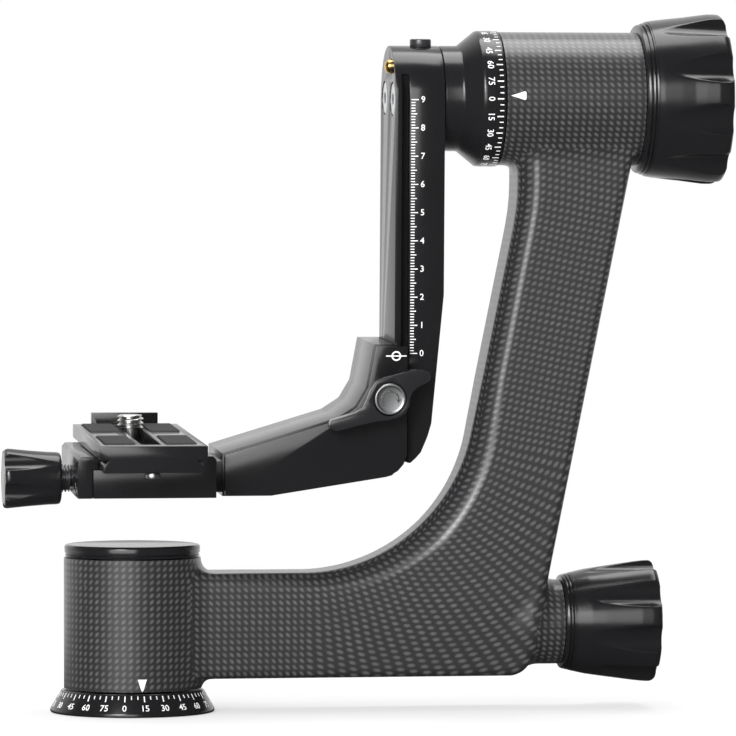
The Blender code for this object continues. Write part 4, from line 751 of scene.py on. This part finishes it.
def hub_place(across, up, out):
    radius = HUB_RADIUS + out
    angle = radians(1.2) + up / HUB_RADIUS
    return (across, -radius * cos(angle), radius * sin(angle))


def make_hub():
    profile = [(109.9, 0.0), (109.9, 18.5), (110.1, 18.75), (110.5, 18.8), (115.9, 18.8),
               (116.6, 18.95), (117.2, 19.4), (122.2, 23.45), (122.7, 23.9), (123.3, 24.15),
               (124.0, 24.2), (130.45, 24.2), (130.7, 24.1), (130.8, 23.85), (130.8, 10.3),
               (123.0, 10.3), (123.0, 0.0)]
    hub = turned("hub_turning", profile, "X", (0, 0), 144)
    carve(hub, rod("hole", "X", (-9.6, 0), 3.3, 105, 119.3, 32),
          rod("hole", "X", (9.6, 0), 3.3, 105, 119.3, 32))
    smooth(hub)
    dress(lean(hub), "swing", "black_anodised", "tilt_hub")

    def draw_dash(angle, length, width):
        return dash(129.9 - length / 2, HUB_RADIUS * angle, length, width)

    def draw_number(angle, index):
        return label(str(DIAL_NUMBERS[-index % 6]), 3.2, 125.4, HUB_RADIUS * angle, -pi / 2)
    scale = dial("hub_marks", 1.4, draw_dash, draw_number, hub_place)
    dress(lean(scale), "swing", "white_paint")


ARM_FRONT, SIDE_PLATE_FRONT = -18.8, -23.2


def arm_face(across, up, out):
    return (across, ARM_FRONT - out, up)


def make_swing_arm():
    make_rounded("swing_arm", "swing_arm_bar", "swing", 0.45, 2)
    marks = []
    for step in range(91):
        up = step - 90.0
        length = 2.6 if step % 10 == 0 else 2.1 if step % 5 == 0 else 1.4
        marks.append(dash(97.5 + length / 2, up, length, 0.36))
        if step % 10 == 0:
            marks.append(label(str(step // 10), 3.1, 101.7, up))
    scale = lay_on(join("height_scale", marks), arm_face)
    dress(lean(scale), "swing", "white_paint")
    for side, name in ((-1, "front"), (1, "rear")):
        centre = (side * 9.6, 0.0)
        head = [(92.2, 0.0), (92.2, 5.35), (92.35, 5.65), (92.6, 5.8), (92.95, 5.8), (95.7, 3.0),
                (119.0, 3.0), (119.0, 0.0)]
        make_screw(f"arm_bolt_head_{name}", "X", centre, head, 48, (2.3, 91, 94.6),
                   "swing", "silver", f"arm_bolt_{name}")
    pin = [(89.4, 0.0), (89.45, 0.7), (89.75, 1.45), (90.3, 2.1), (91.0, 2.45), (91.6, 2.5),
           (97.0, 2.5), (97.0, 0.0)]
    stop = lean(turned("stop_pin_dome", pin, "X", (-7.2, 11.5), 40))
    dress(stop, "swing", "brass", "arm_stop_pin")
    cap = [(9.4, 0.0), (9.4, 1.9), (18.4, 1.9), (18.4, 3.7), (18.6, 3.8), (20.7, 3.8),
           (21.05, 3.65), (21.2, 3.35), (21.2, 0.0)]
    make_screw("top_screw_cap", "Z", (103.4, 0.0), cap, 48, (1.75, 19.2, 22.0),
               "swing", "dark_steel", "arm_top_screw")


# ---- bracket and lever


def make_bracket():
    make_rounded("bracket", "bracket_casting", "platform", 0.8, 3)
    make_rounded("bracket_side_plate", "side_plate", "platform", 0.7, 2)

    def plate_place(across, up, out):
        return (across, SIDE_PLATE_FRONT - out, up)
    circle = [(1.75 * cos(a), 1.75 * sin(a)) for a in np.linspace(0, tau, 33)[:-1]]
    disc = slab("disc", [(92.0 + a, -90.6 + b) for a, b in circle], "Z", -MARK_PROUD, MARK_PROUD)
    carve(disc, rod("hole", "Z", (92.0, -90.6), 1.2, -1, 1, 32))
    bars = [dash(92.0, -90.6, 2.4, 0.4), dash(89.3, -90.6, 2.0, 0.4), dash(94.7, -90.6, 2.0, 0.4)]
    mark = lay_on(join("height_mark", [disc] + bars), plate_place)
    dress(lean(mark), "platform", "white_paint")


def make_lever():
    lever = soften(from_node("lock_lever", "lock_lever_grip"), 0.75, 3, radians(40))
    smooth(lever, radians(48))
    dress(lever, "lock_lever", "lever_anodised", "lock_lever")
    centre = (88.8, -105.4)
    profile = [(-31.2, 0.0), (-31.2, 4.2), (-31.25, 4.45), (-31.45, 4.7), (-31.5, 5.0),
               (-31.4, 5.4), (-31.1, 5.6), (-29.2, 5.6), (-29.2, 4.9), (-31.0, 4.9), (-31.0, 0.0)]
    button = turned("lever_button_cap", profile, "Y", centre, 64)
    low, high = -31.28, -31.15
    arrow = []
    for index in range(25):
        angle = radians(205 - 8.5 * index)
        arrow.append((3.25 * cos(angle), 3.25 * sin(angle)))
    back = [(x * 0.8, z * 0.8) for x, z in reversed(arrow)]
    arc = slab("arc", [(centre[0] + x, centre[1] + z) for x, z in arrow + back], "Y", low, high)
    tips = []
    for angle, sign in ((205, 1), (1, -1)):
        turn = radians(angle)
        out = Vector((cos(turn), sin(turn)))
        aim = Vector((-out.y, out.x)) * sign
        corners = [out * 3.9, out * 2.0, out * 2.95 + aim * 1.5]
        places = [(centre[0] + spot.x, centre[1] + spot.y) for spot in corners]
        tips.append(slab("tip", places, "Y", low, high))
    dress(lean(button), "lever_button", "button_silver", "lever_button")
    arrows = lean(join("button_arrow", [arc] + tips))
    dress(arrows, "lever_button", "bright_cut")


# ---- clamp and plate


def make_clamp():
    make_rounded("clamp_base", "clamp_body", "platform", 0.5, 3)
    make_rounded("clamp_jaw", "clamp_jaw_bar", "clamp_jaw", 0.45, 3)


def make_plate():
    make_rounded("quick_plate", "quick_plate_body", "plate", 0.45, 2)
    make_rounded("plate_lip", "lip_bar", "plate", 0.5, 2)
    for row, y in (("front", -24.2), ("rear", 29.8)):
        for column, x in (("left", -10.8), ("right", 10.8)):
            make_pad(f"{row}_{column}", PLATE_CENTRE + x, y)
    for side, name in ((-1, "front"), (1, "rear")):
        centre = (PLATE_CENTRE, side * 46.0)
        head = [(-131.6, 0.0), (-131.6, 2.3), (-131.4, 2.55), (-131.1, 2.6), (-129.9, 2.6),
                (-129.6, 2.45), (-129.6, 1.3), (-125.3, 1.3), (-125.3, 0.0)]
        make_screw(f"stop_screw_head_{name}", "Z", centre, head, 40, (1.2, -133, -130.6),
                   "plate", "silver", f"stop_screw_{name}")


def make_pad(name, x, y):
    """One rubber pad with ribs across it."""
    half_x, half_y = 5.2, 16.5
    floor, low, high = -120.7, -119.95, -119.5
    outline = [(y - half_y, floor), (y + half_y, floor)]
    ribs = 22
    pitch = 2 * half_y / ribs
    for index in range(ribs):
        end = y + half_y - index * pitch
        outline += [(end, low), (end - pitch * 0.22, high), (end - pitch * 0.62, high),
                    (end - pitch * 0.84, low)]
    outline.append((y - half_y, low))
    pad = slab(f"pad_ribbed_{name}", outline, "X", x - half_x, x + half_x)
    smooth(pad)
    dress(lean(pad), "plate", "rubber", f"pad_{name}")


def make_camera_screw():
    """The 3/8 inch screw with its real thread, a slot across its top, its neck and its head."""
    centre = (PLATE_CENTRE, 31.0)
    pitch, crest, root = 1.5875, 4.8, 3.95
    low, high = -119.7, -115.2
    levels = 40
    profile = [(low, 0.0)]
    profile += [(low + (high - low) * index / levels, crest) for index in range(levels + 1)]
    profile.append((high, 0.0))
    thread = turned("camera_screw_thread", profile, "Z", centre, 64)
    for vertex in thread.data.vertices:
        x, y, z = vertex.co / UNIT
        dx, dy = x - centre[0], y - centre[1]
        off = hypot(dx, dy)
        if off < 1:
            continue
        phase = ((z - low) / pitch - atan2(dy, dx) / tau) % 1.0
        rise = min(1.0, max(0.0, 2.6 * abs(phase - 0.5) - 0.15))
        edge = min(1.0, (high - z) / 0.7 + 0.35)
        radius = root + (crest - root) * rise * edge
        vertex.co.x = (centre[0] + dx / off * radius) * UNIT
        vertex.co.y = (centre[1] + dy / off * radius) * UNIT
    carve(thread, brick("slot", (centre[0] - 6, centre[1] - 0.5, high - 1.0),
                        (centre[0] + 6, centre[1] + 0.5, high + 1)))
    smooth(thread, radians(60))
    neck = [(-128.9, 0.0), (-128.9, 6.0), (-128.6, 6.3), (-127.6, 6.3), (-127.4, 6.1),
            (-127.4, 3.1), (low - 0.02, 3.1), (low - 0.02, 0.0)]
    head = turned("camera_screw_head", neck, "Z", centre, 64)
    dress(lean(thread), "camera_screw", "steel", "camera_screw")
    dress(lean(head), "camera_screw", "steel")


# ---- finishes


def add(tree, kind, **values):
    """A shader node with its settings."""
    node = tree.nodes.new(f"ShaderNode{kind}")
    for key, value in values.items():
        setattr(node, key, value)
    return node


def fill(node, values):
    """Sets the plain values of a node's inputs."""
    for name, value in values.items():
        node.inputs[name].default_value = value


def node_group(name, inputs):
    """A group from its inputs' defaults, which gives a colour, a roughness and a height."""
    tree = bpy.data.node_groups.new(name, "ShaderNodeTree")
    kinds = {type(None): "Vector", float: "Float", tuple: "Color"}
    for title, value in inputs.items():
        socket = tree.interface.new_socket(title, in_out="INPUT",
                                           socket_type=f"NodeSocket{kinds[type(value)]}")
        if value is not None:
            socket.default_value = value
    for title, kind in (("Color", "Color"), ("Roughness", "Float"), ("Height", "Float")):
        tree.interface.new_socket(title, in_out="OUTPUT", socket_type=f"NodeSocket{kind}")
    return tree, tree.nodes.new("NodeGroupInput").outputs, tree.nodes.new("NodeGroupOutput").inputs


def calc(tree, operation, first, second=None, third=None, clamp=False):
    """A Math node fed by sockets or plain numbers."""
    step = add(tree, "Math", operation=operation, use_clamp=clamp)
    for index, value in enumerate((first, second, third)):
        if isinstance(value, (int, float)):
            step.inputs[index].default_value = value
        elif value is not None:
            tree.links.new(value, step.inputs[index])
    return step.outputs[0]


def mix_colour(tree, share, first, second):
    step = add(tree, "Mix", data_type="RGBA")
    for value, index in ((share, 0), (first, 6), (second, 7)):
        tree.links.new(value, step.inputs[index])
    return step.outputs[2]


def noise(tree, vector, scale, detail=2.0):
    step = add(tree, "TexNoise")
    tree.links.new(vector, step.inputs["Vector"])
    fill(step, {"Scale": scale, "Detail": detail})
    return step.outputs["Fac"]


def make_weave_group():
    """Rows of tow crowns under resin, on a map in metres."""
    tree, given, result = node_group("carbon_weave", {
        "Vector": None, "Tow Length": 0.0025, "Tow Width": 0.0023, "Resin": (0.0, 0.0, 0.0, 1.0),
        "Fibre": (1.0, 1.0, 1.0, 1.0), "Roughness": 0.35})
    split = add(tree, "SeparateXYZ")
    tree.links.new(given["Vector"], split.inputs[0])
    u = calc(tree, "DIVIDE", split.outputs["X"], given["Tow Length"])
    v = calc(tree, "DIVIDE", split.outputs["Y"], given["Tow Width"])
    drift = calc(tree, "MULTIPLY_ADD", noise(tree, given["Vector"], 90.0, 1.0), 0.24, -0.12)
    u = calc(tree, "ADD", u, drift)
    du = calc(tree, "SUBTRACT", calc(tree, "FRACT", u), 0.5)
    dv = calc(tree, "SUBTRACT", calc(tree, "FRACT", v), 0.5)
    across = calc(tree, "MULTIPLY", calc(tree, "MULTIPLY_ADD", dv, -0.45, du), 2.9)
    up = calc(tree, "MULTIPLY", dv, 2.2)
    reach = calc(tree, "SQRT", calc(tree, "ADD", calc(tree, "MULTIPLY", across, across),
                                    calc(tree, "MULTIPLY", up, up)))
    crown = calc(tree, "SUBTRACT", 1.0, reach, clamp=True)
    crown = calc(tree, "SMOOTH_MIN", crown, 0.62, 0.25)
    fine = noise(tree, given["Vector"], 1400.0)
    patch = noise(tree, given["Vector"], 160.0)
    share = calc(tree, "MULTIPLY", crown, calc(tree, "MULTIPLY_ADD", fine, 0.5, 0.75))
    share = calc(tree, "MULTIPLY", share, calc(tree, "MULTIPLY_ADD", patch, 1.1, 0.75))
    share = calc(tree, "ADD", share, 0.04, clamp=True)
    tree.links.new(mix_colour(tree, share, given["Resin"], given["Fibre"]), result["Color"])
    tree.links.new(calc(tree, "MULTIPLY_ADD", fine, 0.08, given["Roughness"]), result["Roughness"])
    tree.links.new(crown, result["Height"])


def make_grain_group():
    """The fine blasted grain of anodised metal and moulded plastic, with faint wear."""
    tree, given, result = node_group("fine_grain", {
        "Vector": None, "Colour": (0.0, 0.0, 0.0, 1.0), "Contrast": 0.3, "Roughness": 0.35})
    grain = noise(tree, given["Vector"], 2600.0)
    cloud = noise(tree, given["Vector"], 45.0, 3.0)
    swing = calc(tree, "ADD", calc(tree, "MULTIPLY_ADD", grain, 1.4, -0.7),
                 calc(tree, "MULTIPLY_ADD", cloud, 0.6, -0.3))
    tint = add(tree, "VectorMath", operation="SCALE")
    tree.links.new(given["Colour"], tint.inputs[0])
    tree.links.new(calc(tree, "MULTIPLY_ADD", swing, given["Contrast"], 1.0), tint.inputs["Scale"])
    tree.links.new(tint.outputs[0], result["Color"])
    tree.links.new(calc(tree, "MULTIPLY_ADD", cloud, 0.08, given["Roughness"]), result["Roughness"])
    tree.links.new(grain, result["Height"])


def finish_from(name, group_name, values, strength, depth, uv_map=None):
    """A material whose colour, roughness and bump come from a group; gives back its shader."""
    made = bpy.data.materials.new(f"finish_{name}")
    made.use_nodes = True
    tree = made.node_tree
    shader = tree.nodes["Principled BSDF"]
    if uv_map:
        place = add(tree, "UVMap", uv_map=uv_map).outputs[0]
    else:
        place = add(tree, "TexCoord").outputs["Object"]
    group = add(tree, "Group", node_tree=bpy.data.node_groups[group_name])
    fill(group, values)
    bump = add(tree, "Bump")
    fill(bump, {"Strength": strength, "Distance": depth})
    for start, end in ((place, group.inputs["Vector"]),
                       (group.outputs["Color"], shader.inputs["Base Color"]),
                       (group.outputs["Roughness"], shader.inputs["Roughness"]),
                       (group.outputs["Height"], bump.inputs["Height"]),
                       (bump.outputs[0], shader.inputs["Normal"])):
        tree.links.new(start, end)
    return shader


def grained(name, colour, roughness, metallic=0.0, contrast=0.3, depth=0.00001, strength=0.4):
    """A finish with the fine grain."""
    values = {"Colour": (*colour, 1.0), "Contrast": contrast, "Roughness": roughness}
    fill(finish_from(name, "fine_grain", values, strength, depth), {"Metallic": metallic})


def make_finishes(scene):
    carbon, metal, trim = scene.gimbal_carbon, scene.gimbal_metal, scene.gimbal_trim
    make_weave_group()
    make_grain_group()
    weave = {"Tow Length": carbon.tow_length, "Tow Width": carbon.tow_width,
             "Resin": (*carbon.resin, 1.0), "Fibre": (*carbon.fibre, 1.0),
             "Roughness": carbon.gloss}
    fill(finish_from("carbon", "carbon_weave", weave, 0.12, 0.0001, "weave"),
         {"Coat Weight": 0.6, "Coat Roughness": 0.22})
    grained("black_anodised", metal.anodised, metal.anodised_roughness)
    grained("cap_anodised", metal.anodised, metal.anodised_roughness * 0.8)
    grained("lever_anodised", tuple(c * 1.5 for c in metal.anodised), metal.anodised_roughness)
    grained("black_knob", trim.knob, trim.knob_roughness, contrast=0.2, strength=0.15)
    grained("friction_plastic", (0.75, 0.74, 0.70), 0.5)
    grained("rubber", trim.rubber, 0.72, contrast=0.5, depth=0.00003)
    grained("white_paint", trim.paint, 0.55, contrast=0.04)
    for name, colour, roughness, metallic, contrast in (
            ("steel", metal.steel, 0.22, 1.0, 0.08),
            ("dark_steel", metal.dark_steel, 0.3, 0.6, 0.12),
            ("silver", (0.74, 0.75, 0.76), 0.3, 1.0, 0.08),
            ("button_silver", (0.40, 0.405, 0.41), 0.36, 1.0, 0.06),
            ("bright_cut", (0.92, 0.92, 0.93), 0.18, 1.0, 0.05),
            ("bronze", (0.55, 0.42, 0.24), 0.35, 1.0, 0.1),
            ("brass", metal.brass, 0.22, 1.0, 0.08)):
        grained(name, colour, roughness, metallic, contrast)


NODE_FINISHES = {
    "steel": ("base_screw_1", "base_screw_2", "base_screw_3", "pan_bearing_lower",
              "pan_bearing_upper", "tilt_bearing_left", "tilt_bearing_right", "pan_push_rod",
              "pan_knob_stem", "tilt_knob_stem", "lever_stud", "lever_spring", "guide_pin_front",
              "guide_pin_rear", "lip_screw_left", "lip_screw_right", "screw_washer"),
    "dark_steel": ("base_spindle", "pan_nut", "tilt_end_collar", "tilt_shaft", "clamp_bolt_front",
                   "clamp_bolt_rear", "side_plate_dowel_1", "side_plate_dowel_2"),
    "bronze": ("pan_knob_bush",),
    "friction_plastic": ("pan_brake_shoe", "tilt_brake_disc"),
}


def dress_nodes():
    for finish, nodes in NODE_FINISHES.items():
        for node in nodes:
            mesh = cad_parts[node].data
            mesh.materials.clear()
            mesh.materials.append(finish_of(finish))


# ---- stage


FILM_WIDTH, PICTURE_WIDTH, FOCAL_WIDTH = 36.0, 736.0, 5800.0
CAMERA_YAW, CAMERA_RISE, CAMERA_DISTANCE = radians(8.2), radians(1.45), 2.0714


def set_up(data, place, aim):
    """Puts a camera or a lamp at a place and points it at another."""
    obj = bpy.data.objects.new(data.name, data)
    bpy.context.scene.collection.objects.link(obj)
    obj.location = place
    obj.rotation_mode = "QUATERNION"
    obj.rotation_quaternion = (Vector(aim) - Vector(place)).to_track_quat("-Z", "Y")
    return obj


def make_camera():
    """A long lens, low and a little left of the front."""
    aim = mm(84.64, 0.0, 121.77)
    back = Vector((-sin(CAMERA_YAW) * cos(CAMERA_RISE),
                   -cos(CAMERA_YAW) * cos(CAMERA_RISE), sin(CAMERA_RISE)))
    data = bpy.data.cameras.new("front_camera")
    data.sensor_width = FILM_WIDTH
    data.lens = FILM_WIDTH * FOCAL_WIDTH / PICTURE_WIDTH
    data.clip_start, data.clip_end = 0.05, 50.0
    bpy.context.scene.camera = set_up(data, aim + back * CAMERA_DISTANCE, aim)


def soft_light(name, place, aim, width, height, power):
    data = bpy.data.lights.new(name, "AREA")
    data.shape = "RECTANGLE"
    data.size, data.size_y = width, height
    data.energy = power
    set_up(data, place, aim)


def behind_share(tree, ahead, low, high):
    """How much of the white surroundings stands in a direction or place along +Y."""
    share = add(tree, "MapRange", interpolation_type="SMOOTHSTEP")
    fill(share, {"From Min": low, "From Max": high, "To Min": 0.03, "To Max": 1.0})
    tree.links.new(ahead, share.inputs["Value"])
    return share.outputs[0]


def light_path(tree, place_output):
    """The light path's outputs, and the Y of a texture coordinate with that coordinate."""
    place = add(tree, "TexCoord").outputs[place_output]
    split = add(tree, "SeparateXYZ")
    tree.links.new(place, split.inputs[0])
    return add(tree, "LightPath").outputs, split.outputs["Y"], place


def make_world():
    """White behind the object, dark in front of it for reflections, soft grey for the rest."""
    world = bpy.data.worlds.new("studio")
    bpy.context.scene.world = world
    world.use_nodes = True
    tree = world.node_tree
    shade = tree.nodes["Background"]
    rays, ahead, _ = light_path(tree, "Generated")
    seen = calc(tree, "MAXIMUM", rays["Is Camera Ray"], rays["Is Transmission Ray"])
    mirrored = calc(tree, "MULTIPLY", rays["Is Glossy Ray"], behind_share(tree, ahead, 0.1, 0.8))
    either = calc(tree, "MAXIMUM", seen, rays["Is Glossy Ray"])
    rest = calc(tree, "MULTIPLY", calc(tree, "SUBTRACT", 1.0, either), 0.55)
    shown = calc(tree, "MAXIMUM", seen, mirrored)
    tree.links.new(calc(tree, "ADD", shown, rest), shade.inputs["Strength"])
    fill(shade, {"Color": (1, 1, 1, 1)})


def make_floor():
    """A wide white floor that keeps its shadow near the object and is pure white further out."""
    deselect()
    bpy.ops.mesh.primitive_plane_add(size=1.0, location=(0, 0, -0.0002), scale=(1, 1, 1))
    floor = take_name("studio_floor")
    floor.scale = (24.0, 24.0, 1.0)
    settle(floor)
    made = bpy.data.materials.new("studio_white")
    made.use_nodes = True
    tree = made.node_tree
    shader = tree.nodes["Principled BSDF"]
    fill(shader, {"Base Color": (0.9, 0.9, 0.9, 1), "Roughness": 0.9, "Specular IOR Level": 0.0})
    rays, ahead, place = light_path(tree, "Object")
    away = add(tree, "VectorMath", operation="DISTANCE")
    tree.links.new(place, away.inputs[0])
    away.inputs[1].default_value = (0.08, 0.0, 0.0)
    fade = add(tree, "MapRange")
    fill(fade, {"From Min": 0.10, "From Max": 0.40, "To Min": 0.60, "To Max": 1.0})
    tree.links.new(away.outputs["Value"], fade.inputs["Value"])
    mirrored = behind_share(tree, ahead, 0.0, 0.5)
    dim = calc(tree, "MULTIPLY", rays["Is Glossy Ray"], calc(tree, "SUBTRACT", 1.0, mirrored))
    glow = add(tree, "Emission")
    seen = calc(tree, "MULTIPLY", rays["Is Camera Ray"], fade.outputs[0])
    mixed = add(tree, "MixShader")
    for start, end in ((calc(tree, "SUBTRACT", 1.0, dim), glow.inputs["Strength"]),
                       (calc(tree, "MAXIMUM", seen, rays["Is Glossy Ray"]), mixed.inputs[0]),
                       (shader.outputs[0], mixed.inputs[1]), (glow.outputs[0], mixed.inputs[2]),
                       (mixed.outputs[0], tree.nodes["Material Output"].inputs["Surface"])):
        tree.links.new(start, end)
    floor.data.materials.append(made)


def make_stage():
    bpy.context.scene.view_settings.view_transform = "Standard"
    make_camera()
    make_world()
    make_floor()
    middle = mm(85, 0, 120)
    soft_light("front_box", (-1.0, -2.5, 0.66), middle, 2.2, 1.35, 40.0)
    soft_light("key_box", (-0.84, -1.78, 0.98), middle, 0.60, 0.85, 22.0)
    soft_light("top_box", (0.1, 0.35, 1.9), middle, 1.6, 1.2, 30.0)


# ---- operators


class BuildFinishes(bpy.types.Operator):
    """Makes the finishes and gives the kept nodes theirs"""
    bl_idname = "gimbal.finishes"
    bl_label = "Finishes"

    def execute(self, context):
        make_finishes(context.scene)
        dress_nodes()
        return {"FINISHED"}


class BuildStage(bpy.types.Operator):
    """Makes the camera, the world, the lamps and the floor"""
    bl_idname = "gimbal.stage"
    bl_label = "Stage"

    def execute(self, context):
        make_stage()
        return {"FINISHED"}


class BuildBody(bpy.types.Operator):
    """Builds the moulded carbon body and its pointers"""
    bl_idname = "gimbal.body"
    bl_label = "Carbon body"

    def execute(self, context):
        make_body()
        make_pointers()
        return {"FINISHED"}


class BuildBase(bpy.types.Operator):
    """Builds the degree ring, its marks and the column's cap"""
    bl_idname = "gimbal.base"
    bl_label = "Base and cap"

    def execute(self, context):
        make_base()
        make_cap()
        return {"FINISHED"}


class BuildKnobs(bpy.types.Operator):
    """Builds the pan, tilt and clamp knobs"""
    bl_idname = "gimbal.knobs"
    bl_label = "Knobs"

    def execute(self, context):
        make_tilt_knob()
        make_pan_knob()
        make_clamp_knob()
        return {"FINISHED"}


class BuildSwing(bpy.types.Operator):
    """Builds the hub, the swing arm, its scale, bolts and pins"""
    bl_idname = "gimbal.swing"
    bl_label = "Hub and swing arm"

    def execute(self, context):
        make_hub()
        make_swing_arm()
        return {"FINISHED"}


class BuildBracket(bpy.types.Operator):
    """Builds the bracket, its side plate, the lever and the button"""
    bl_idname = "gimbal.bracket"
    bl_label = "Bracket and lever"

    def execute(self, context):
        make_bracket()
        make_lever()
        return {"FINISHED"}


class BuildClamp(bpy.types.Operator):
    """Builds the clamp, the quick-release plate, its pads and its screws"""
    bl_idname = "gimbal.clamp"
    bl_label = "Clamp and plate"

    def execute(self, context):
        make_clamp()
        make_plate()
        make_camera_screw()
        return {"FINISHED"}


class GimbalPanel(bpy.types.Panel):
    """Lists the builders of the gimbal head's pieces"""
    bl_idname = "VIEW3D_PT_gimbal_head"
    bl_label = "Gimbal Head"
    bl_space_type = "VIEW_3D"
    bl_region_type = "UI"
    bl_category = "Gimbal Head"

    def draw(self, context):
        for builder in BUILDERS:
            self.layout.operator(builder.bl_idname)
        for name in SETTINGS:
            settings = getattr(context.scene, name)
            for key in settings.bl_rna.properties.keys():
                if key not in {"rna_type", "name"}:
                    self.layout.prop(settings, key)


BUILDERS = (BuildStage, BuildFinishes, BuildBody, BuildBase, BuildKnobs, BuildSwing, BuildBracket,
            BuildClamp)
SETTINGS = {"gimbal_carbon": CarbonSettings, "gimbal_metal": MetalSettings,
            "gimbal_trim": TrimSettings}


def register():
    for name, kind in SETTINGS.items():
        bpy.utils.register_class(kind)
        setattr(bpy.types.Scene, name, bpy.props.PointerProperty(type=kind))
    for kind in (*BUILDERS, GimbalPanel):
        bpy.utils.register_class(kind)


def unregister():
    for kind in reversed((*BUILDERS, GimbalPanel)):
        bpy.utils.unregister_class(kind)
    for name, kind in SETTINGS.items():
        delattr(bpy.types.Scene, name)
        bpy.utils.unregister_class(kind)


def main():
    register()
    for builder in BUILDERS:
        group, name = builder.bl_idname.split(".")
        getattr(getattr(bpy.ops, group), name)()


if __name__ == "__main__":
    main()
